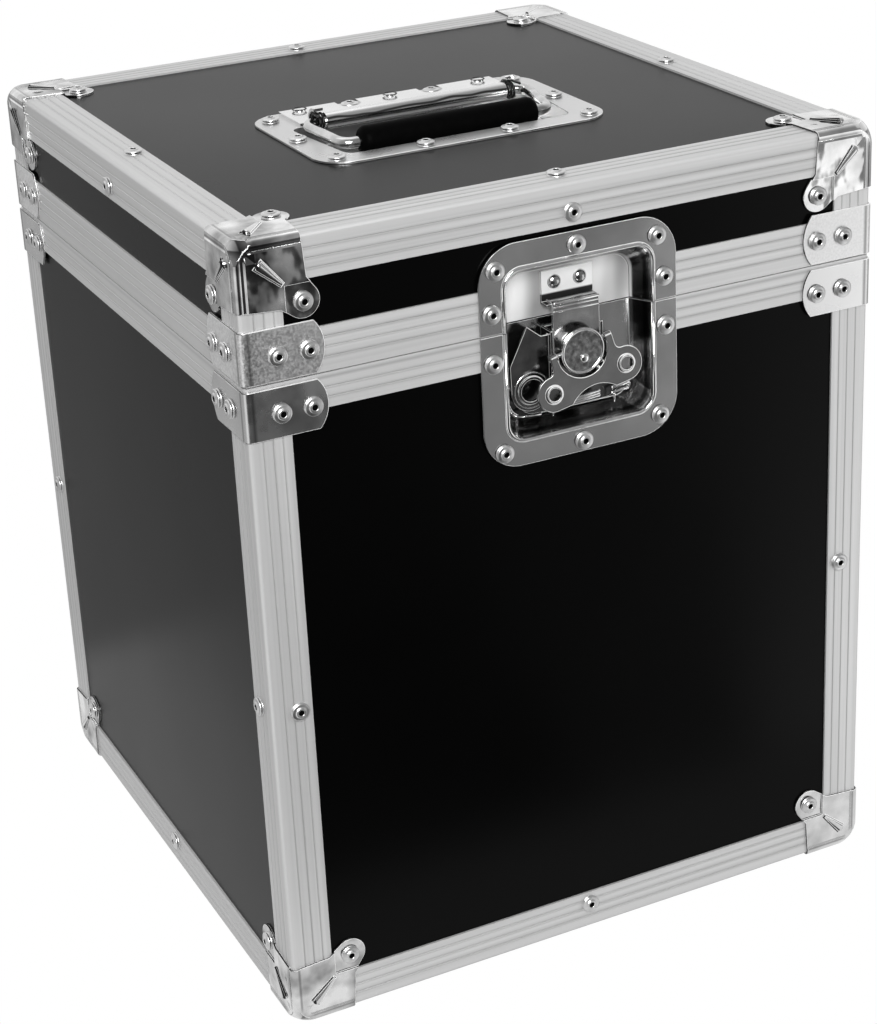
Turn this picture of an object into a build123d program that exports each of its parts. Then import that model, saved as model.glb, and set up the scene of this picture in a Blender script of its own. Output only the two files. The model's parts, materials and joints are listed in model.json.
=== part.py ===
# Flight case for a 30 cm mirror ball: plywood panels in aluminium angle,
# pressed corners, a lift-up lid on two rear hinges, a butterfly latch in a
# split recessed dish and a sprung flip handle. Millimetres, +Z up, the latch
# faces -Y, and the origin is the middle of the underside.
import os
from math import atan2, cos, hypot, pi, radians, sin, sqrt

from build123d import *

os.makedirs("parts", exist_ok=True)

# Outside sizes, over the aluminium angles
case_w = 350.0
case_d = 350.0
case_h = 424.0
joint_gap = 0.5

# Plywood panels
panel_t = 7.0
corner_relief = 7.0

# Aluminium angle along every outer edge
angle_w = 22.0
angle_t = 1.2
angle_r = 2.0
groove_first = 7.3
groove_pitch = 5.05
groove_depth = 0.3
groove_w = 0.7
strip_shift = 2.0
butt_gap = 0.1
edge_setback = 9.0

# Tongue and groove profiles that close the joint
base_strip_h = 17.6
lid_strip_h = 22.7
base_web = 2.0
lid_web = 6.4
base_lip_h = 10.0
lid_lip_h = 14.0
tongue_w = 2.4
tongue_tip_w = 1.4
tongue_h = 3.5
groove_clear = 0.5
groove_room = 0.7

# Pressed corner plates
corner_t = 1.2
corner_leg = 33.0
corner_flare = (34.5, 20.5)
corner_neck = (39.0, 26.5)
corner_ball = 13.0
corner_r = 3.2
tab_at = 32.3
tab_r = 8.7
tab_step = 1.0
step_clear = 0.4
rib_start = 10.5
rib_end = 22.4
rib_wide = 3.0
rib_narrow = 1.2
rib_h = 0.9
rib_taper = 25.0

# Bent clamps at the joint
clamp_t = 1.2
clamp_len = 41.4
clamp_bulge = 4.9
lid_clamp_low = 0.8
lid_clamp_high = 27.4
base_clamp_high = -2.0
base_clamp_low = -27.4
clamp_play = 1.1

# Blind rivets
rivet_r = 4.8
rivet_top_r = 3.3
rivet_h = 1.2
rivet_edge = 15.0
post_rivet_z = 180.8
clamp_rivets = (17.2, 33.2)
lid_clamp_rivet = 13.4
base_clamp_rivet = -15.1

# Latch dish, pressed sheet in two halves
latch_x = 2.4
dish_w = 110.6
dish_up = 45.0
dish_down = 71.3
dish_r = 21.0
dish_t = 1.0
dish_rim = 14.4
dish_depth = 12.0
dish_gap = 0.6
recess_r = 9.0
tub_draft = 6.0
tub_back_r = 10.0
bead_w = 2.0
bead_h = 0.7
cut_clear = 0.6
dish_rivets_up = ((-46.0, 32.6), (-1.2, 38.2), (44.2, 34.4), (-48.6, 11.0), (48.0, 12.4))
dish_rivets_down = (
    (-48.6, -14.6),
    (48.6, -13.6),
    (-44.4, -62.6),
    (45.0, -61.2),
    (0.4, -65.4),
)

# Butterfly latch; depths are inwards from the face of the angles
spindle_off = -0.9
spindle_down = 16.2
wing_turn = 11.2
head_r = 11.8
head_t = 1.6
head_deep = -5.0
drum_r = 9.5
drum_back = 0.4
stud_r = 1.9
stud_h = 0.9
stud_at = (0.5, -3.6)
cam_r = 6.0
cam_throw = 1.75
cam_clear = 0.6
cam_proud = 0.3
journal_r = 3.0
shoulder_r = 5.0
shoulder_t = 1.1
tail_r = 4.6
tail_t = 1.0
running_clear = 0.05
end_clear = 0.15
wing_t = 1.6
wing_lean = 8.0
wing_pin_up = 1.6
wing_pin_deep = -2.2
wing_pin_r = 1.1
wing_curl_r = 1.9
wing_curl_in = 13.6
wing_curl_out = 17.6
wing_hole_at = (20.9, 17.2)
wing_hole_r = 3.25
wing_rim_r = 4.7
wing_lobe_r = 9.0
wing_throat_r = 13.8
wing_waist_r = 18.0
wing_waist_at = 21.0
wing_flank = 0.8
wing_flank_r = 3.0
hook_w = 26.0
hook_t = 1.6
hook_deep = 1.0
hook_top = 9.6
hook_bottom = 33.0
hook_reach = 8.0
hook_bend_r = 3.0
hook_seat_gap = 0.3
keeper_w = 29.2
keeper_t = 1.2
keeper_top = 23.4
keeper_shelf = 4.4
keeper_rivet_up = 17.2
keeper_rivet_at = 7.15
keeper_rivet_r = 3.7
keeper_rivet_h = 1.7
guide_t = 1.4
guide_clear = 0.4
guide_top = 5.0
guide_bottom = 31.0
guide_front = 0.9
base_sheet_w = 60.0
base_sheet_top = 22.0
base_sheet_bottom = 50.0
base_sheet_r = 10.0
lug_deep = 3.4
lug_top = 7.1
lug_shoulder = 4.8
lug_tip = (-26.6, -0.8)
lug_heel = (-36.4, -19.9)
eye_at = (-25.0, -34.4)
eye_r = 5.8
eye_rim_r = 7.4
eye_lobe_r = 11.0

# Flip handle
handle_x = -4.2
handle_y = -27.3
handle_w = 167.0
handle_l = 108.0
handle_r = 18.0
handle_t = 1.2
tub_front_w = 129.0
tub_back_w = 142.0
tub_front = 40.0
tub_back = 22.0
tub_r = 6.0
tub_depth = 12.0
handle_rivets = (
    (-73.0, -44.4), (73.0, -44.4), (-24.2, -47.0), (24.2, -47.0), (-75.7, -1.0), (75.7, -1.0),
    (-73.0, 42.4), (73.0, 42.4), (-24.7, 46.6), (24.7, 46.6),
)
pivot_y = 15.0
pivot_up = 3.0
rod_r = 3.0
rod_y = -24.0
rod_up = 0.5
rod_in = 34.0
arm_back = 66.0
arm_front = 60.0
rod_bend = 7.0
grip_l = 103.0
grip_r = 8.0
grip_end_r = 5.0
grip_clear = 0.05
barrel_half = 53.4
barrel_t = 1.5
barrel_hole_r = 3.08
barrel_plate_half = 64.0
barrel_plate_back = 53.0
barrel_notch_r = 6.2
barrel_ring_at = (0.0, 54.0)
barrel_ring_y = 47.5
barrel_ring_r = 3.4
coil_r = 4.6
coil_wire_r = 0.65
coil_start = 54.8
coil_end = 58.9
coil_quarters = 9
coil_leg_down = 6.0
coil_leg_out = 8.0
ear_r = 6.2
ear_in = 54.3
ear_out = 59.6
ear_start = -20.0
ear_turn = 118.0

# Rear hinges
hinge_x = 90.0
leaf_w = 50.0
leaf_t = 1.5
leaf_lid_h = 20.0
leaf_base_h = 16.5
leaf_clear = 3.2
knuckle_r = 3.4
hinge_pin_r = 1.6
hinge_clear = 0.2
knuckle_gap = 0.3
lid_knuckle_w = 16.0
leaf_rivet_x = 15.0
leaf_rivet_up = 12.5
leaf_rivet_down = 10.2

# Foam and the ball that it holds
ball_r = 150.0
ball_clear = 1.0
foam_gap = 0.3
foam_under = 52.0
floor_foam_h = 70.0
wall_foam_t = 15.5
lid_foam_up = 2.0
lid_foam_in = 10.0
foam_pocket = 1.0

# Heights and depths in the case's own frame
z0 = corner_t + rib_h
z_top = z0 + case_h
lid_h = tab_at + tab_r + clamp_play + lid_clamp_high
joint_h = case_h - lid_h
z_joint = z0 + joint_h
base_top = z_joint - joint_gap / 2
lid_low = z_joint + joint_gap / 2
z_floor = z0 + angle_t + panel_t
z_ceiling = z_top - angle_t - panel_t
wall_in = angle_t + panel_t
lip_in = wall_in + angle_t
ball_z = z_floor + foam_under + ball_r
recess_w = dish_w - 2 * dish_rim
recess_up = dish_up - dish_rim
recess_down = dish_down - dish_rim
spindle_x = latch_x + spindle_off
spindle_z = z_joint - spindle_down
hinge_y = case_d / 2 + hinge_clear + knuckle_r

# One plane for each upright side: x along it, y up, z outwards
sides = {
    "front": Plane((0, -case_d / 2, 0), x_dir=(1, 0, 0), z_dir=(0, -1, 0)),
    "right": Plane((case_w / 2, 0, 0), x_dir=(0, 1, 0), z_dir=(1, 0, 0)),
    "back": Plane((0, case_d / 2, 0), x_dir=(-1, 0, 0), z_dir=(0, 1, 0)),
    "left": Plane((-case_w / 2, 0, 0), x_dir=(0, -1, 0), z_dir=(-1, 0, 0)),
}
side_len = {"front": case_w, "right": case_d, "back": case_w, "left": case_d}
front = sides["front"]
top_face = Plane.XY.offset(z_top)
joint_face = Plane(front.origin + Vector(0, 0, z_joint), x_dir=front.x_dir, z_dir=front.z_dir)
latch_face = Plane(joint_face.origin + Vector(latch_x, 0, 0), x_dir=(1, 0, 0), z_dir=(0, -1, 0))
spindle_face = Plane((spindle_x, -case_d / 2, spindle_z), x_dir=(1, 0, 0), z_dir=(0, -1, 0))
hook_face = Plane((spindle_x, -case_d / 2, z_joint), x_dir=(1, 0, 0), z_dir=(0, -1, 0))
handle_face = Plane((handle_x, handle_y, z_top))


def save(piece, name):
    piece.part.label = name
    export_step(piece.part, f"parts/{name}.step")


def across(side, height=0.0):
    """Plane across a side's length: x outwards, y up."""
    origin = side.origin + Vector(0, 0, height)
    return Plane(origin, x_dir=side.z_dir, z_dir=side.x_dir * -1)


def deep(plane, depth):
    """The plane moved into the case."""
    return plane.offset(-depth)


def flutes(width, place):
    """V grooves along a strip, as many as its width takes."""
    along = groove_first
    while along < width - groove_w:
        Polygon(
            place(along - groove_w / 2, 0),
            place(along, groove_depth),
            place(along + groove_w / 2, 0),
            align=None,
            mode=Mode.SUBTRACT,
        )
        along += groove_pitch


def fluted_angle(sign_x, sign_y):
    """Angle section with its outer corner at the sketch's origin."""
    bend = angle_r * (1 - sqrt(0.5))
    with BuildSketch() as section:
        with BuildLine():
            Polyline(
                (sign_x * angle_r, 0),
                (sign_x * angle_w, 0),
                (sign_x * angle_w, sign_y * angle_t),
                (sign_x * angle_t, sign_y * angle_t),
                (sign_x * angle_t, sign_y * angle_w),
                (0, sign_y * angle_w),
                (0, sign_y * angle_r),
            )
            ThreePointArc(
                (0, sign_y * angle_r),
                (sign_x * bend, sign_y * bend),
                (sign_x * angle_r, 0),
            )
        make_face()
        flutes(angle_w, lambda along, depth: (sign_x * along, sign_y * depth))
        flutes(angle_w, lambda along, depth: (sign_x * depth, sign_y * along))
    return section.sketch


def latch_cut_out(height):
    """Opening for the latch dish in a sketch on the front, made in mid-height coordinates."""
    with Locations((latch_x, height)):
        Rectangle(
            recess_w + 2 * (dish_t + cut_clear),
            recess_up + recess_down + 2 * (dish_t + cut_clear),
            mode=Mode.SUBTRACT,
        )


def wall(side_name, low, high):
    """Upright panel. Front and back run the full width, the sides fit between."""
    length = side_len[side_name] - 2 * angle_t
    if side_name in ("left", "right"):
        length -= 2 * panel_t
    with BuildPart() as panel:
        with BuildSketch(deep(sides[side_name], angle_t)):
            with Locations((0, (low + high) / 2)):
                Rectangle(length, high - low)
            if side_name == "front":
                latch_cut_out(z_joint + (recess_up - recess_down) / 2)
        extrude(amount=-panel_t)
    return panel


def edge_angle(side_name, height, up):
    """Level angle along a side; the left and right ones butt between the others."""
    side = sides[side_name]
    half = side_len[side_name] / 2
    with BuildPart() as angle:
        with BuildSketch(across(side, height)):
            add(fluted_angle(-1, up))
        extrude(amount=half - edge_setback, both=True)
        if side_name in ("left", "right"):
            notch = edge_setback + angle_w
            with BuildSketch(Plane.XY.offset(height)):
                with Locations(deep(side, angle_t + angle_w / 2).origin):
                    with GridLocations(0, 2 * half - 2 * angle_w + notch, 1, 2):
                        Rectangle(angle_w, notch + 2 * butt_gap)
            extrude(amount=up * 2 * angle_t, both=True, mode=Mode.SUBTRACT)
    return angle


def post(sign_x, sign_y, low, high):
    """Upright angle at one corner of the plan."""
    with BuildPart() as angle:
        with BuildSketch(Plane((sign_x * case_w / 2, sign_y * case_d / 2, low))):
            add(fluted_angle(-sign_x, -sign_y))
        extrude(amount=high - low)
    return angle


def rim_length(side_name, section):
    """Length of rim profile on one side, mitred at both ends and open at the latch."""
    side = sides[side_name]
    half = side_len[side_name] / 2
    along = side.x_dir
    outward = side.z_dir
    with BuildPart() as rim:
        with BuildSketch(across(side)):
            add(section)
        extrude(amount=half + angle_w, both=True)
        far_end = side.origin + along * half
        near_end = side.origin - along * half
        split(bisect_by=Plane(far_end, z_dir=along - outward).offset(-butt_gap / 2), keep=Keep.BOTTOM)
        split(
            bisect_by=Plane(near_end, z_dir=(along + outward) * -1).offset(-butt_gap / 2),
            keep=Keep.BOTTOM,
        )
        if side_name == "front":
            with BuildSketch(front.offset(angle_w)):
                with Locations((latch_x, z_joint)):
                    Rectangle(recess_w + 2 * (dish_t + cut_clear), 4 * angle_w)
            extrude(amount=-3 * angle_w, mode=Mode.SUBTRACT)
        with BuildSketch(Plane.XY):
            RectangleRounded(case_w, case_d, angle_r)
        extrude(amount=z_top, mode=Mode.INTERSECT)
    return rim


def base_rim_section():
    middle = -angle_t - panel_t / 2
    with BuildSketch() as section:
        Polygon(
            (0, base_top),
            (0, base_top - base_strip_h),
            (-angle_t, base_top - base_strip_h),
            (-angle_t, base_top - base_web),
            (-wall_in, base_top - base_web),
            (-wall_in, base_top - base_lip_h),
            (-lip_in, base_top - base_lip_h),
            (-lip_in, base_top),
            (middle - tongue_w / 2, base_top),
            (middle - tongue_tip_w / 2, base_top + tongue_h),
            (middle + tongue_tip_w / 2, base_top + tongue_h),
            (middle + tongue_w / 2, base_top),
            align=None,
        )
        flutes(
            base_strip_h,
            lambda along, depth: (-depth, base_top - base_strip_h + along - strip_shift),
        )
    return section.sketch


def lid_rim_section():
    middle = -angle_t - panel_t / 2
    half = tongue_w / 2 + groove_clear
    with BuildSketch() as section:
        Polygon(
            (0, lid_low),
            (0, lid_low + lid_strip_h),
            (-angle_t, lid_low + lid_strip_h),
            (-angle_t, lid_low + lid_web),
            (-wall_in, lid_low + lid_web),
            (-wall_in, lid_low + lid_lip_h),
            (-lip_in, lid_low + lid_lip_h),
            (-lip_in, lid_low),
            (middle - half, lid_low),
            (middle - half, lid_low + tongue_h + groove_room),
            (middle + half, lid_low + tongue_h + groove_room),
            (middle + half, lid_low),
            align=None,
        )
        flutes(
            lid_strip_h,
            lambda along, depth: (-depth, lid_low + lid_strip_h - along + strip_shift),
        )
    return section.sketch


# Floor of the base, with its corners cut back under the pressed corners
with BuildPart() as base_panel_bottom:
    with BuildSketch(Plane.XY.offset(z0 + angle_t)):
        Rectangle(case_w - 2 * angle_t, case_d - 2 * angle_t)
    extrude(amount=panel_t)
    chamfer(base_panel_bottom.edges().filter_by(Axis.Z), corner_relief)
save(base_panel_bottom, "base_panel_bottom")

# Top of the lid, cut out for the handle's tub
with BuildPart() as lid_panel_top:
    with BuildSketch(Plane.XY.offset(z_ceiling)):
        Rectangle(case_w - 2 * angle_t, case_d - 2 * angle_t)
    extrude(amount=panel_t)
    chamfer(lid_panel_top.edges().filter_by(Axis.Z), corner_relief)
    with BuildSketch(Plane.XY.offset(z_ceiling)):
        with Locations((handle_x, handle_y + (tub_back - tub_front) / 2)):
            Rectangle(
                tub_back_w + 2 * (handle_t + cut_clear),
                tub_front + tub_back + 2 * (handle_t + cut_clear),
            )
    extrude(amount=panel_t, mode=Mode.SUBTRACT)
save(lid_panel_top, "lid_panel_top")

# Upright panels, edge angles and joint profiles of the base and of the lid
for name in sides:
    save(wall(name, z_floor, base_top - base_web), f"base_panel_{name}")
    save(wall(name, lid_low + lid_web, z_ceiling), f"lid_panel_{name}")
    save(edge_angle(name, z0, 1), f"base_edge_{name}")
    save(edge_angle(name, z_top, -1), f"lid_edge_{name}")
    save(rim_length(name, base_rim_section()), f"base_rim_{name}")
    save(rim_length(name, lid_rim_section()), f"lid_rim_{name}")

# Corner posts of the base
post_low = z0 + angle_w + butt_gap
post_high = base_top - base_strip_h - butt_gap
corners = {
    "front_left": (-1, -1),
    "front_right": (1, -1),
    "back_left": (-1, 1),
    "back_right": (1, 1),
}
for name, (sign_x, sign_y) in corners.items():
    save(post(sign_x, sign_y, post_low, post_high), f"base_post_{name}")

# The four short posts of the lid
with BuildPart() as lid_posts:
    with BuildSketch(Plane((-case_w / 2, -case_d / 2, lid_low + lid_strip_h + butt_gap))):
        add(fluted_angle(1, 1))
    extrude(amount=z_top - angle_w - lid_low - lid_strip_h - 2 * butt_gap)
    mirror(about=Plane.YZ)
    mirror(about=Plane.XZ)
save(lid_posts, "lid_posts")


def corner_outline():
    """Outline of one leaf of a pressed corner, its edges along the sketch's axes."""
    reach = hypot(corner_neck[0] - tab_at, corner_neck[1] - tab_at)
    tip = tab_at + tab_r * sqrt(0.5)
    scale = tab_r / reach
    neck_u = tab_at + (corner_neck[0] - tab_at) * scale
    neck_v = tab_at + (corner_neck[1] - tab_at) * scale
    with BuildSketch() as outline:
        with BuildLine():
            Polyline(
                (neck_v, neck_u),
                (corner_flare[1], corner_flare[0]),
                (0, corner_leg),
                (-corner_t, corner_leg),
                (-corner_t, -corner_t),
                (corner_leg, -corner_t),
                (corner_leg, 0),
                corner_flare,
                (neck_u, neck_v),
            )
            ThreePointArc((neck_u, neck_v), (tip, tip), (neck_v, neck_u))
        make_face()
    return outline.sketch


def corner_rib():
    """Tapering rib from the corner towards the tab."""
    wide = rib_wide * sqrt(0.5)
    narrow = rib_narrow * sqrt(0.5)
    Polygon(
        (rib_start - wide, rib_start + wide),
        (rib_start + wide, rib_start - wide),
        (rib_end + narrow, rib_end - narrow),
        (rib_end - narrow, rib_end + narrow),
        align=None,
    )


def leaf_plane(origin, first, second, outward):
    """Plane facing outwards whose two axes are the given directions, in either order."""
    if first.cross(second).dot(outward) > 0:
        return Plane(origin, x_dir=first, z_dir=outward)
    return Plane(origin, x_dir=second, z_dir=outward)


def rounded_corner_block(origin, diagonal, size, ball, radius):
    """Cube from a case corner inwards, its near edges rounded and its vertex domed."""
    centre = origin + diagonal * ball
    with BuildPart() as waste:
        with Locations(origin + diagonal * (ball / 2)):
            Box(ball, ball, ball)
        with Locations(centre):
            Sphere(ball * sqrt(2) - radius * (sqrt(2) - 1), mode=Mode.SUBTRACT)
    with BuildPart() as block:
        with Locations(origin + diagonal * (size / 2)):
            Box(size, size, size)
        fillet(block.edges().sort_by_distance(origin)[0:3], radius)
        add(waste.part, mode=Mode.SUBTRACT)
    return block.part


def corner_plate(height, up):
    """Pressed corner at -X -Y: a rounded shell, three stepped tabs and three ribs."""
    origin = Vector(-case_w / 2, -case_d / 2, height)
    diagonal = Vector(1, 1, up)
    along_x = Vector(1, 0, 0)
    along_y = Vector(0, 1, 0)
    along_z = Vector(0, 0, up)
    leaves = (
        leaf_plane(origin, along_x, along_y, along_z * -1),
        leaf_plane(origin, along_x, along_z, along_y * -1),
        leaf_plane(origin, along_y, along_z, along_x * -1),
    )
    reach = tab_at + tab_r + tab_step
    step_at = angle_w + step_clear
    with BuildPart() as plate:
        add(
            rounded_corner_block(
                origin - diagonal * corner_t, diagonal, reach + corner_t, corner_ball, corner_r
            )
        )
        add(
            rounded_corner_block(
                origin, diagonal, 2 * reach, corner_ball - corner_t, corner_r - corner_t
            ),
            mode=Mode.SUBTRACT,
        )
        for leaf in leaves:
            with BuildSketch(leaf):
                Rectangle(3 * reach, 3 * reach)
                add(corner_outline(), mode=Mode.SUBTRACT)
                with Locations((step_at + tab_step, step_at + tab_step)):
                    Rectangle(reach, reach, align=(Align.MIN, Align.MIN))
            extrude(amount=2 * corner_t, mode=Mode.SUBTRACT)
            with BuildSketch(leaf):
                Rectangle(3 * reach, 3 * reach)
                Rectangle(reach, reach, align=(Align.MIN, Align.MIN), mode=Mode.SUBTRACT)
                with Locations((-corner_t, corner_leg), (corner_leg, -corner_t)):
                    Rectangle(reach, reach, align=(Align.MIN, Align.MIN))
                with Locations((-corner_t, -corner_t)):
                    Rectangle(
                        corner_leg + corner_t,
                        corner_leg + corner_t,
                        align=(Align.MIN, Align.MIN),
                        mode=Mode.SUBTRACT,
                    )
            extrude(amount=-corner_r, mode=Mode.SUBTRACT)
        for leaf in leaves:
            with BuildSketch(leaf):
                add(corner_outline())
                with Locations((step_at, step_at)):
                    Rectangle(reach, reach, align=(Align.MIN, Align.MIN), mode=Mode.INTERSECT)
            extrude(amount=-corner_t)
            with BuildSketch(leaf.offset(corner_t)):
                corner_rib()
            extrude(amount=rib_h, taper=rib_taper)
    return plate.part


# Four pressed corners under the base
with BuildPart() as base_corners:
    add(corner_plate(z0, 1))
    mirror(about=Plane.YZ)
    mirror(about=Plane.XZ)
save(base_corners, "base_corners")

# Four pressed corners on top of the lid
with BuildPart() as lid_corners:
    add(corner_plate(z_top, -1))
    mirror(about=Plane.YZ)
    mirror(about=Plane.XZ)
save(lid_corners, "lid_corners")


def clamp_waste(low, high):
    """What the rounded end of a clamp leaves away, from the clamp's corner as origin."""
    half = (high - low) / 2
    radius = (half**2 + clamp_bulge**2) / (2 * clamp_bulge)
    with BuildSketch() as waste:
        with Locations((clamp_len - clamp_bulge, low)):
            Rectangle(2 * clamp_bulge, high - low, align=(Align.MIN, Align.MIN))
        with Locations((clamp_len - radius, (low + high) / 2)):
            Circle(radius, mode=Mode.SUBTRACT)
    return waste.sketch


def corner_clamp(low, high):
    """Sheet bent round the upright corner at -X -Y, with bowed ends."""
    with BuildPart() as clamp:
        with BuildSketch(Plane.XY.offset(low)):
            RectangleRounded(case_w + 2 * clamp_t, case_d + 2 * clamp_t, angle_r + clamp_t)
            RectangleRounded(case_w, case_d, angle_r, mode=Mode.SUBTRACT)
            with Locations((-case_w / 2, -case_d / 2)):
                Rectangle(2 * clamp_len, 2 * clamp_len, mode=Mode.INTERSECT)
        extrude(amount=high - low)
        with BuildSketch(Plane((-case_w / 2, -case_d / 2, 0), x_dir=(1, 0, 0), z_dir=(0, -1, 0))):
            add(clamp_waste(low, high))
        extrude(amount=2 * clamp_t, mode=Mode.SUBTRACT)
        with BuildSketch(Plane((-case_w / 2, -case_d / 2, 0), x_dir=(0, 1, 0), z_dir=(1, 0, 0))):
            add(clamp_waste(low, high))
        extrude(amount=-2 * clamp_t, mode=Mode.SUBTRACT)
    return clamp.part


# Clamps just below the joint, on the base
with BuildPart() as base_clamps:
    add(corner_clamp(z_joint + base_clamp_low, z_joint + base_clamp_high))
    mirror(about=Plane.YZ)
    mirror(about=Plane.XZ)
save(base_clamps, "base_clamps")

# Clamps just above the joint, on the lid
with BuildPart() as lid_clamps:
    add(corner_clamp(z_joint + lid_clamp_low, z_joint + lid_clamp_high))
    mirror(about=Plane.YZ)
    mirror(about=Plane.XZ)
save(lid_clamps, "lid_clamps")


def rivet_head(plane, u, v):
    """Head of one blind rivet standing on a plane."""
    spot = plane.from_local_coords(Vector(u, v, 0))
    with Locations(Plane(spot, x_dir=plane.x_dir, z_dir=plane.z_dir)):
        Cone(rivet_r, rivet_top_r, rivet_h, align=(Align.CENTER, Align.CENTER, Align.MIN))


# Rivets of the base: posts, edges, underside, clamps, corner tabs, latch dish and hinges
with BuildPart() as base_rivets:
    for name, side in sides.items():
        half = side_len[name] / 2
        for end in (-1, 1):
            rivet_head(side, end * (half - rivet_edge), z0 + post_rivet_z)
            rivet_head(side, end * (half - tab_at), z0 + tab_at)
            for along in clamp_rivets:
                rivet_head(side.offset(clamp_t), end * (half - along), z_joint + base_clamp_rivet)
        rivet_head(side, 0, z0 + rivet_edge)
    underside = Plane((0, 0, z0), x_dir=(1, 0, 0), z_dir=(0, 0, -1))
    for sign in (-1, 1):
        rivet_head(underside, sign * (case_w / 2 - rivet_edge), 0)
        rivet_head(underside, 0, sign * (case_d / 2 - rivet_edge))
        for other in (-1, 1):
            rivet_head(underside, sign * (case_w / 2 - tab_at), other * (case_d / 2 - tab_at))
    for u, v in dish_rivets_down:
        rivet_head(latch_face.offset(dish_t), u, v)
    for hinge in (-hinge_x, hinge_x):
        for shift in (-leaf_rivet_x, leaf_rivet_x):
            rivet_head(sides["back"].offset(leaf_t), hinge + shift, z_joint - leaf_rivet_down)
save(base_rivets, "base_rivets")

# Rivets of the lid: edges, top, clamps, corner tabs, latch dish, handle and hinges
with BuildPart() as lid_rivets:
    for name, side in sides.items():
        half = side_len[name] / 2
        for end in (-1, 1):
            rivet_head(side, end * (half - tab_at), z_top - tab_at)
            for along in clamp_rivets:
                rivet_head(side.offset(clamp_t), end * (half - along), z_joint + lid_clamp_rivet)
        rivet_head(side, 0, z_top - rivet_edge)
    for sign in (-1, 1):
        rivet_head(top_face, sign * (case_w / 2 - rivet_edge), 0)
        rivet_head(top_face, 0, sign * (case_d / 2 - rivet_edge))
        for other in (-1, 1):
            rivet_head(top_face, sign * (case_w / 2 - tab_at), other * (case_d / 2 - tab_at))
    for u, v in dish_rivets_up:
        rivet_head(latch_face.offset(dish_t), u, v)
    for u, v in handle_rivets:
        rivet_head(handle_face, u, v)
    for hinge in (-hinge_x, hinge_x):
        for shift in (-leaf_rivet_x, leaf_rivet_x):
            rivet_head(sides["back"].offset(leaf_t), hinge + shift, z_joint + leaf_rivet_up)
save(lid_rivets, "lid_rivets")


def tub_section(middle, draft, grow):
    """Outline of the recess at its mouth or, drawn in by the draft, at its back."""
    width = recess_w + 2 * (grow - draft)
    height = recess_up + recess_down + 2 * (grow - draft)
    corner = tub_back_r if draft else recess_r
    with BuildSketch() as section:
        with Locations(middle):
            RectangleRounded(width, height, corner + grow)
    return section.sketch


def latch_dish(keep_up):
    """Half of the pressed latch dish: flange, rolled bead and tub."""
    opening = (recess_w, recess_up + recess_down)
    middle = (0, (recess_up - recess_down) / 2)
    outside_middle = (0, (dish_up - dish_down) / 2)
    with BuildPart() as dish:
        with BuildSketch(latch_face):
            with Locations(outside_middle):
                RectangleRounded(dish_w, dish_up + dish_down, dish_r)
        extrude(amount=dish_t)
        with BuildSketch(latch_face.offset(dish_t)):
            with Locations(middle):
                RectangleRounded(opening[0] + 2 * bead_w, opening[1] + 2 * bead_w, recess_r + bead_w)
        extrude(amount=bead_h, taper=45)
        with BuildSketch(latch_face):
            add(tub_section(middle, 0, dish_t))
        with BuildSketch(deep(latch_face, dish_depth)):
            add(tub_section(middle, tub_draft, dish_t))
        loft()
        with BuildSketch(latch_face):
            add(tub_section(middle, 0, 0))
        with BuildSketch(deep(latch_face, dish_depth - dish_t)):
            add(tub_section(middle, tub_draft, 0))
        loft(mode=Mode.SUBTRACT)
        with BuildSketch(latch_face):
            add(tub_section(middle, 0, 0))
        extrude(amount=2 * dish_t, mode=Mode.SUBTRACT)
        if keep_up:
            cut = Plane((0, 0, z_joint + dish_gap / 2))
            split(bisect_by=cut, keep=Keep.TOP)
        else:
            cut = Plane((0, 0, z_joint - dish_gap / 2))
            split(bisect_by=cut, keep=Keep.BOTTOM)
            with BuildSketch(spindle_face):
                Circle(journal_r + 6 * running_clear)
            extrude(amount=-2 * dish_depth, mode=Mode.SUBTRACT)
    return dish


save(latch_dish(True), "latch_lid_dish")
save(latch_dish(False), "latch_base_dish")

back_of_recess = dish_depth - dish_t
sheet_front = back_of_recess - guide_t

guide_x = hook_w / 2 + guide_clear + guide_t / 2

# Latch bed: riveted sheet, two guides beside the hook and the padlock lug
with BuildPart() as latch_plate:
    with BuildSketch(deep(hook_face, back_of_recess)):
        with Locations((0, -(base_sheet_top + base_sheet_bottom) / 2)):
            RectangleRounded(base_sheet_w, base_sheet_bottom - base_sheet_top, base_sheet_r)
        with Locations((0, -(guide_top + base_sheet_bottom) / 2)):
            Rectangle(2 * guide_x + guide_t, base_sheet_bottom - guide_top)
    extrude(amount=guide_t)
    with BuildSketch(deep(hook_face, sheet_front)):
        with Locations((0, -(guide_top + guide_bottom) / 2)):
            with GridLocations(2 * guide_x, 0, 2, 1):
                Rectangle(guide_t, guide_bottom - guide_top)
    extrude(amount=sheet_front - guide_front)
    with BuildSketch(deep(hook_face, lug_deep + guide_t)):
        Polygon(
            (-guide_x, -lug_top),
            (-guide_x - lug_shoulder, -lug_top),
            lug_tip,
            lug_heel,
            (eye_at[0] - eye_lobe_r, eye_at[1]),
            (eye_at[0], eye_at[1] - eye_lobe_r),
            (-guide_x, -guide_bottom),
            align=None,
        )
        with Locations(eye_at):
            Circle(eye_lobe_r)
            Circle(eye_r, mode=Mode.SUBTRACT)
    extrude(amount=guide_t)
    with BuildSketch(deep(hook_face, lug_deep)):
        with Locations(eye_at):
            Circle(eye_rim_r)
            Circle(eye_r, mode=Mode.SUBTRACT)
    extrude(amount=guide_t / 2)
    with BuildSketch(spindle_face):
        Circle(journal_r + running_clear)
    extrude(amount=-2 * dish_depth, mode=Mode.SUBTRACT)
save(latch_plate, "latch_plate")

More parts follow.
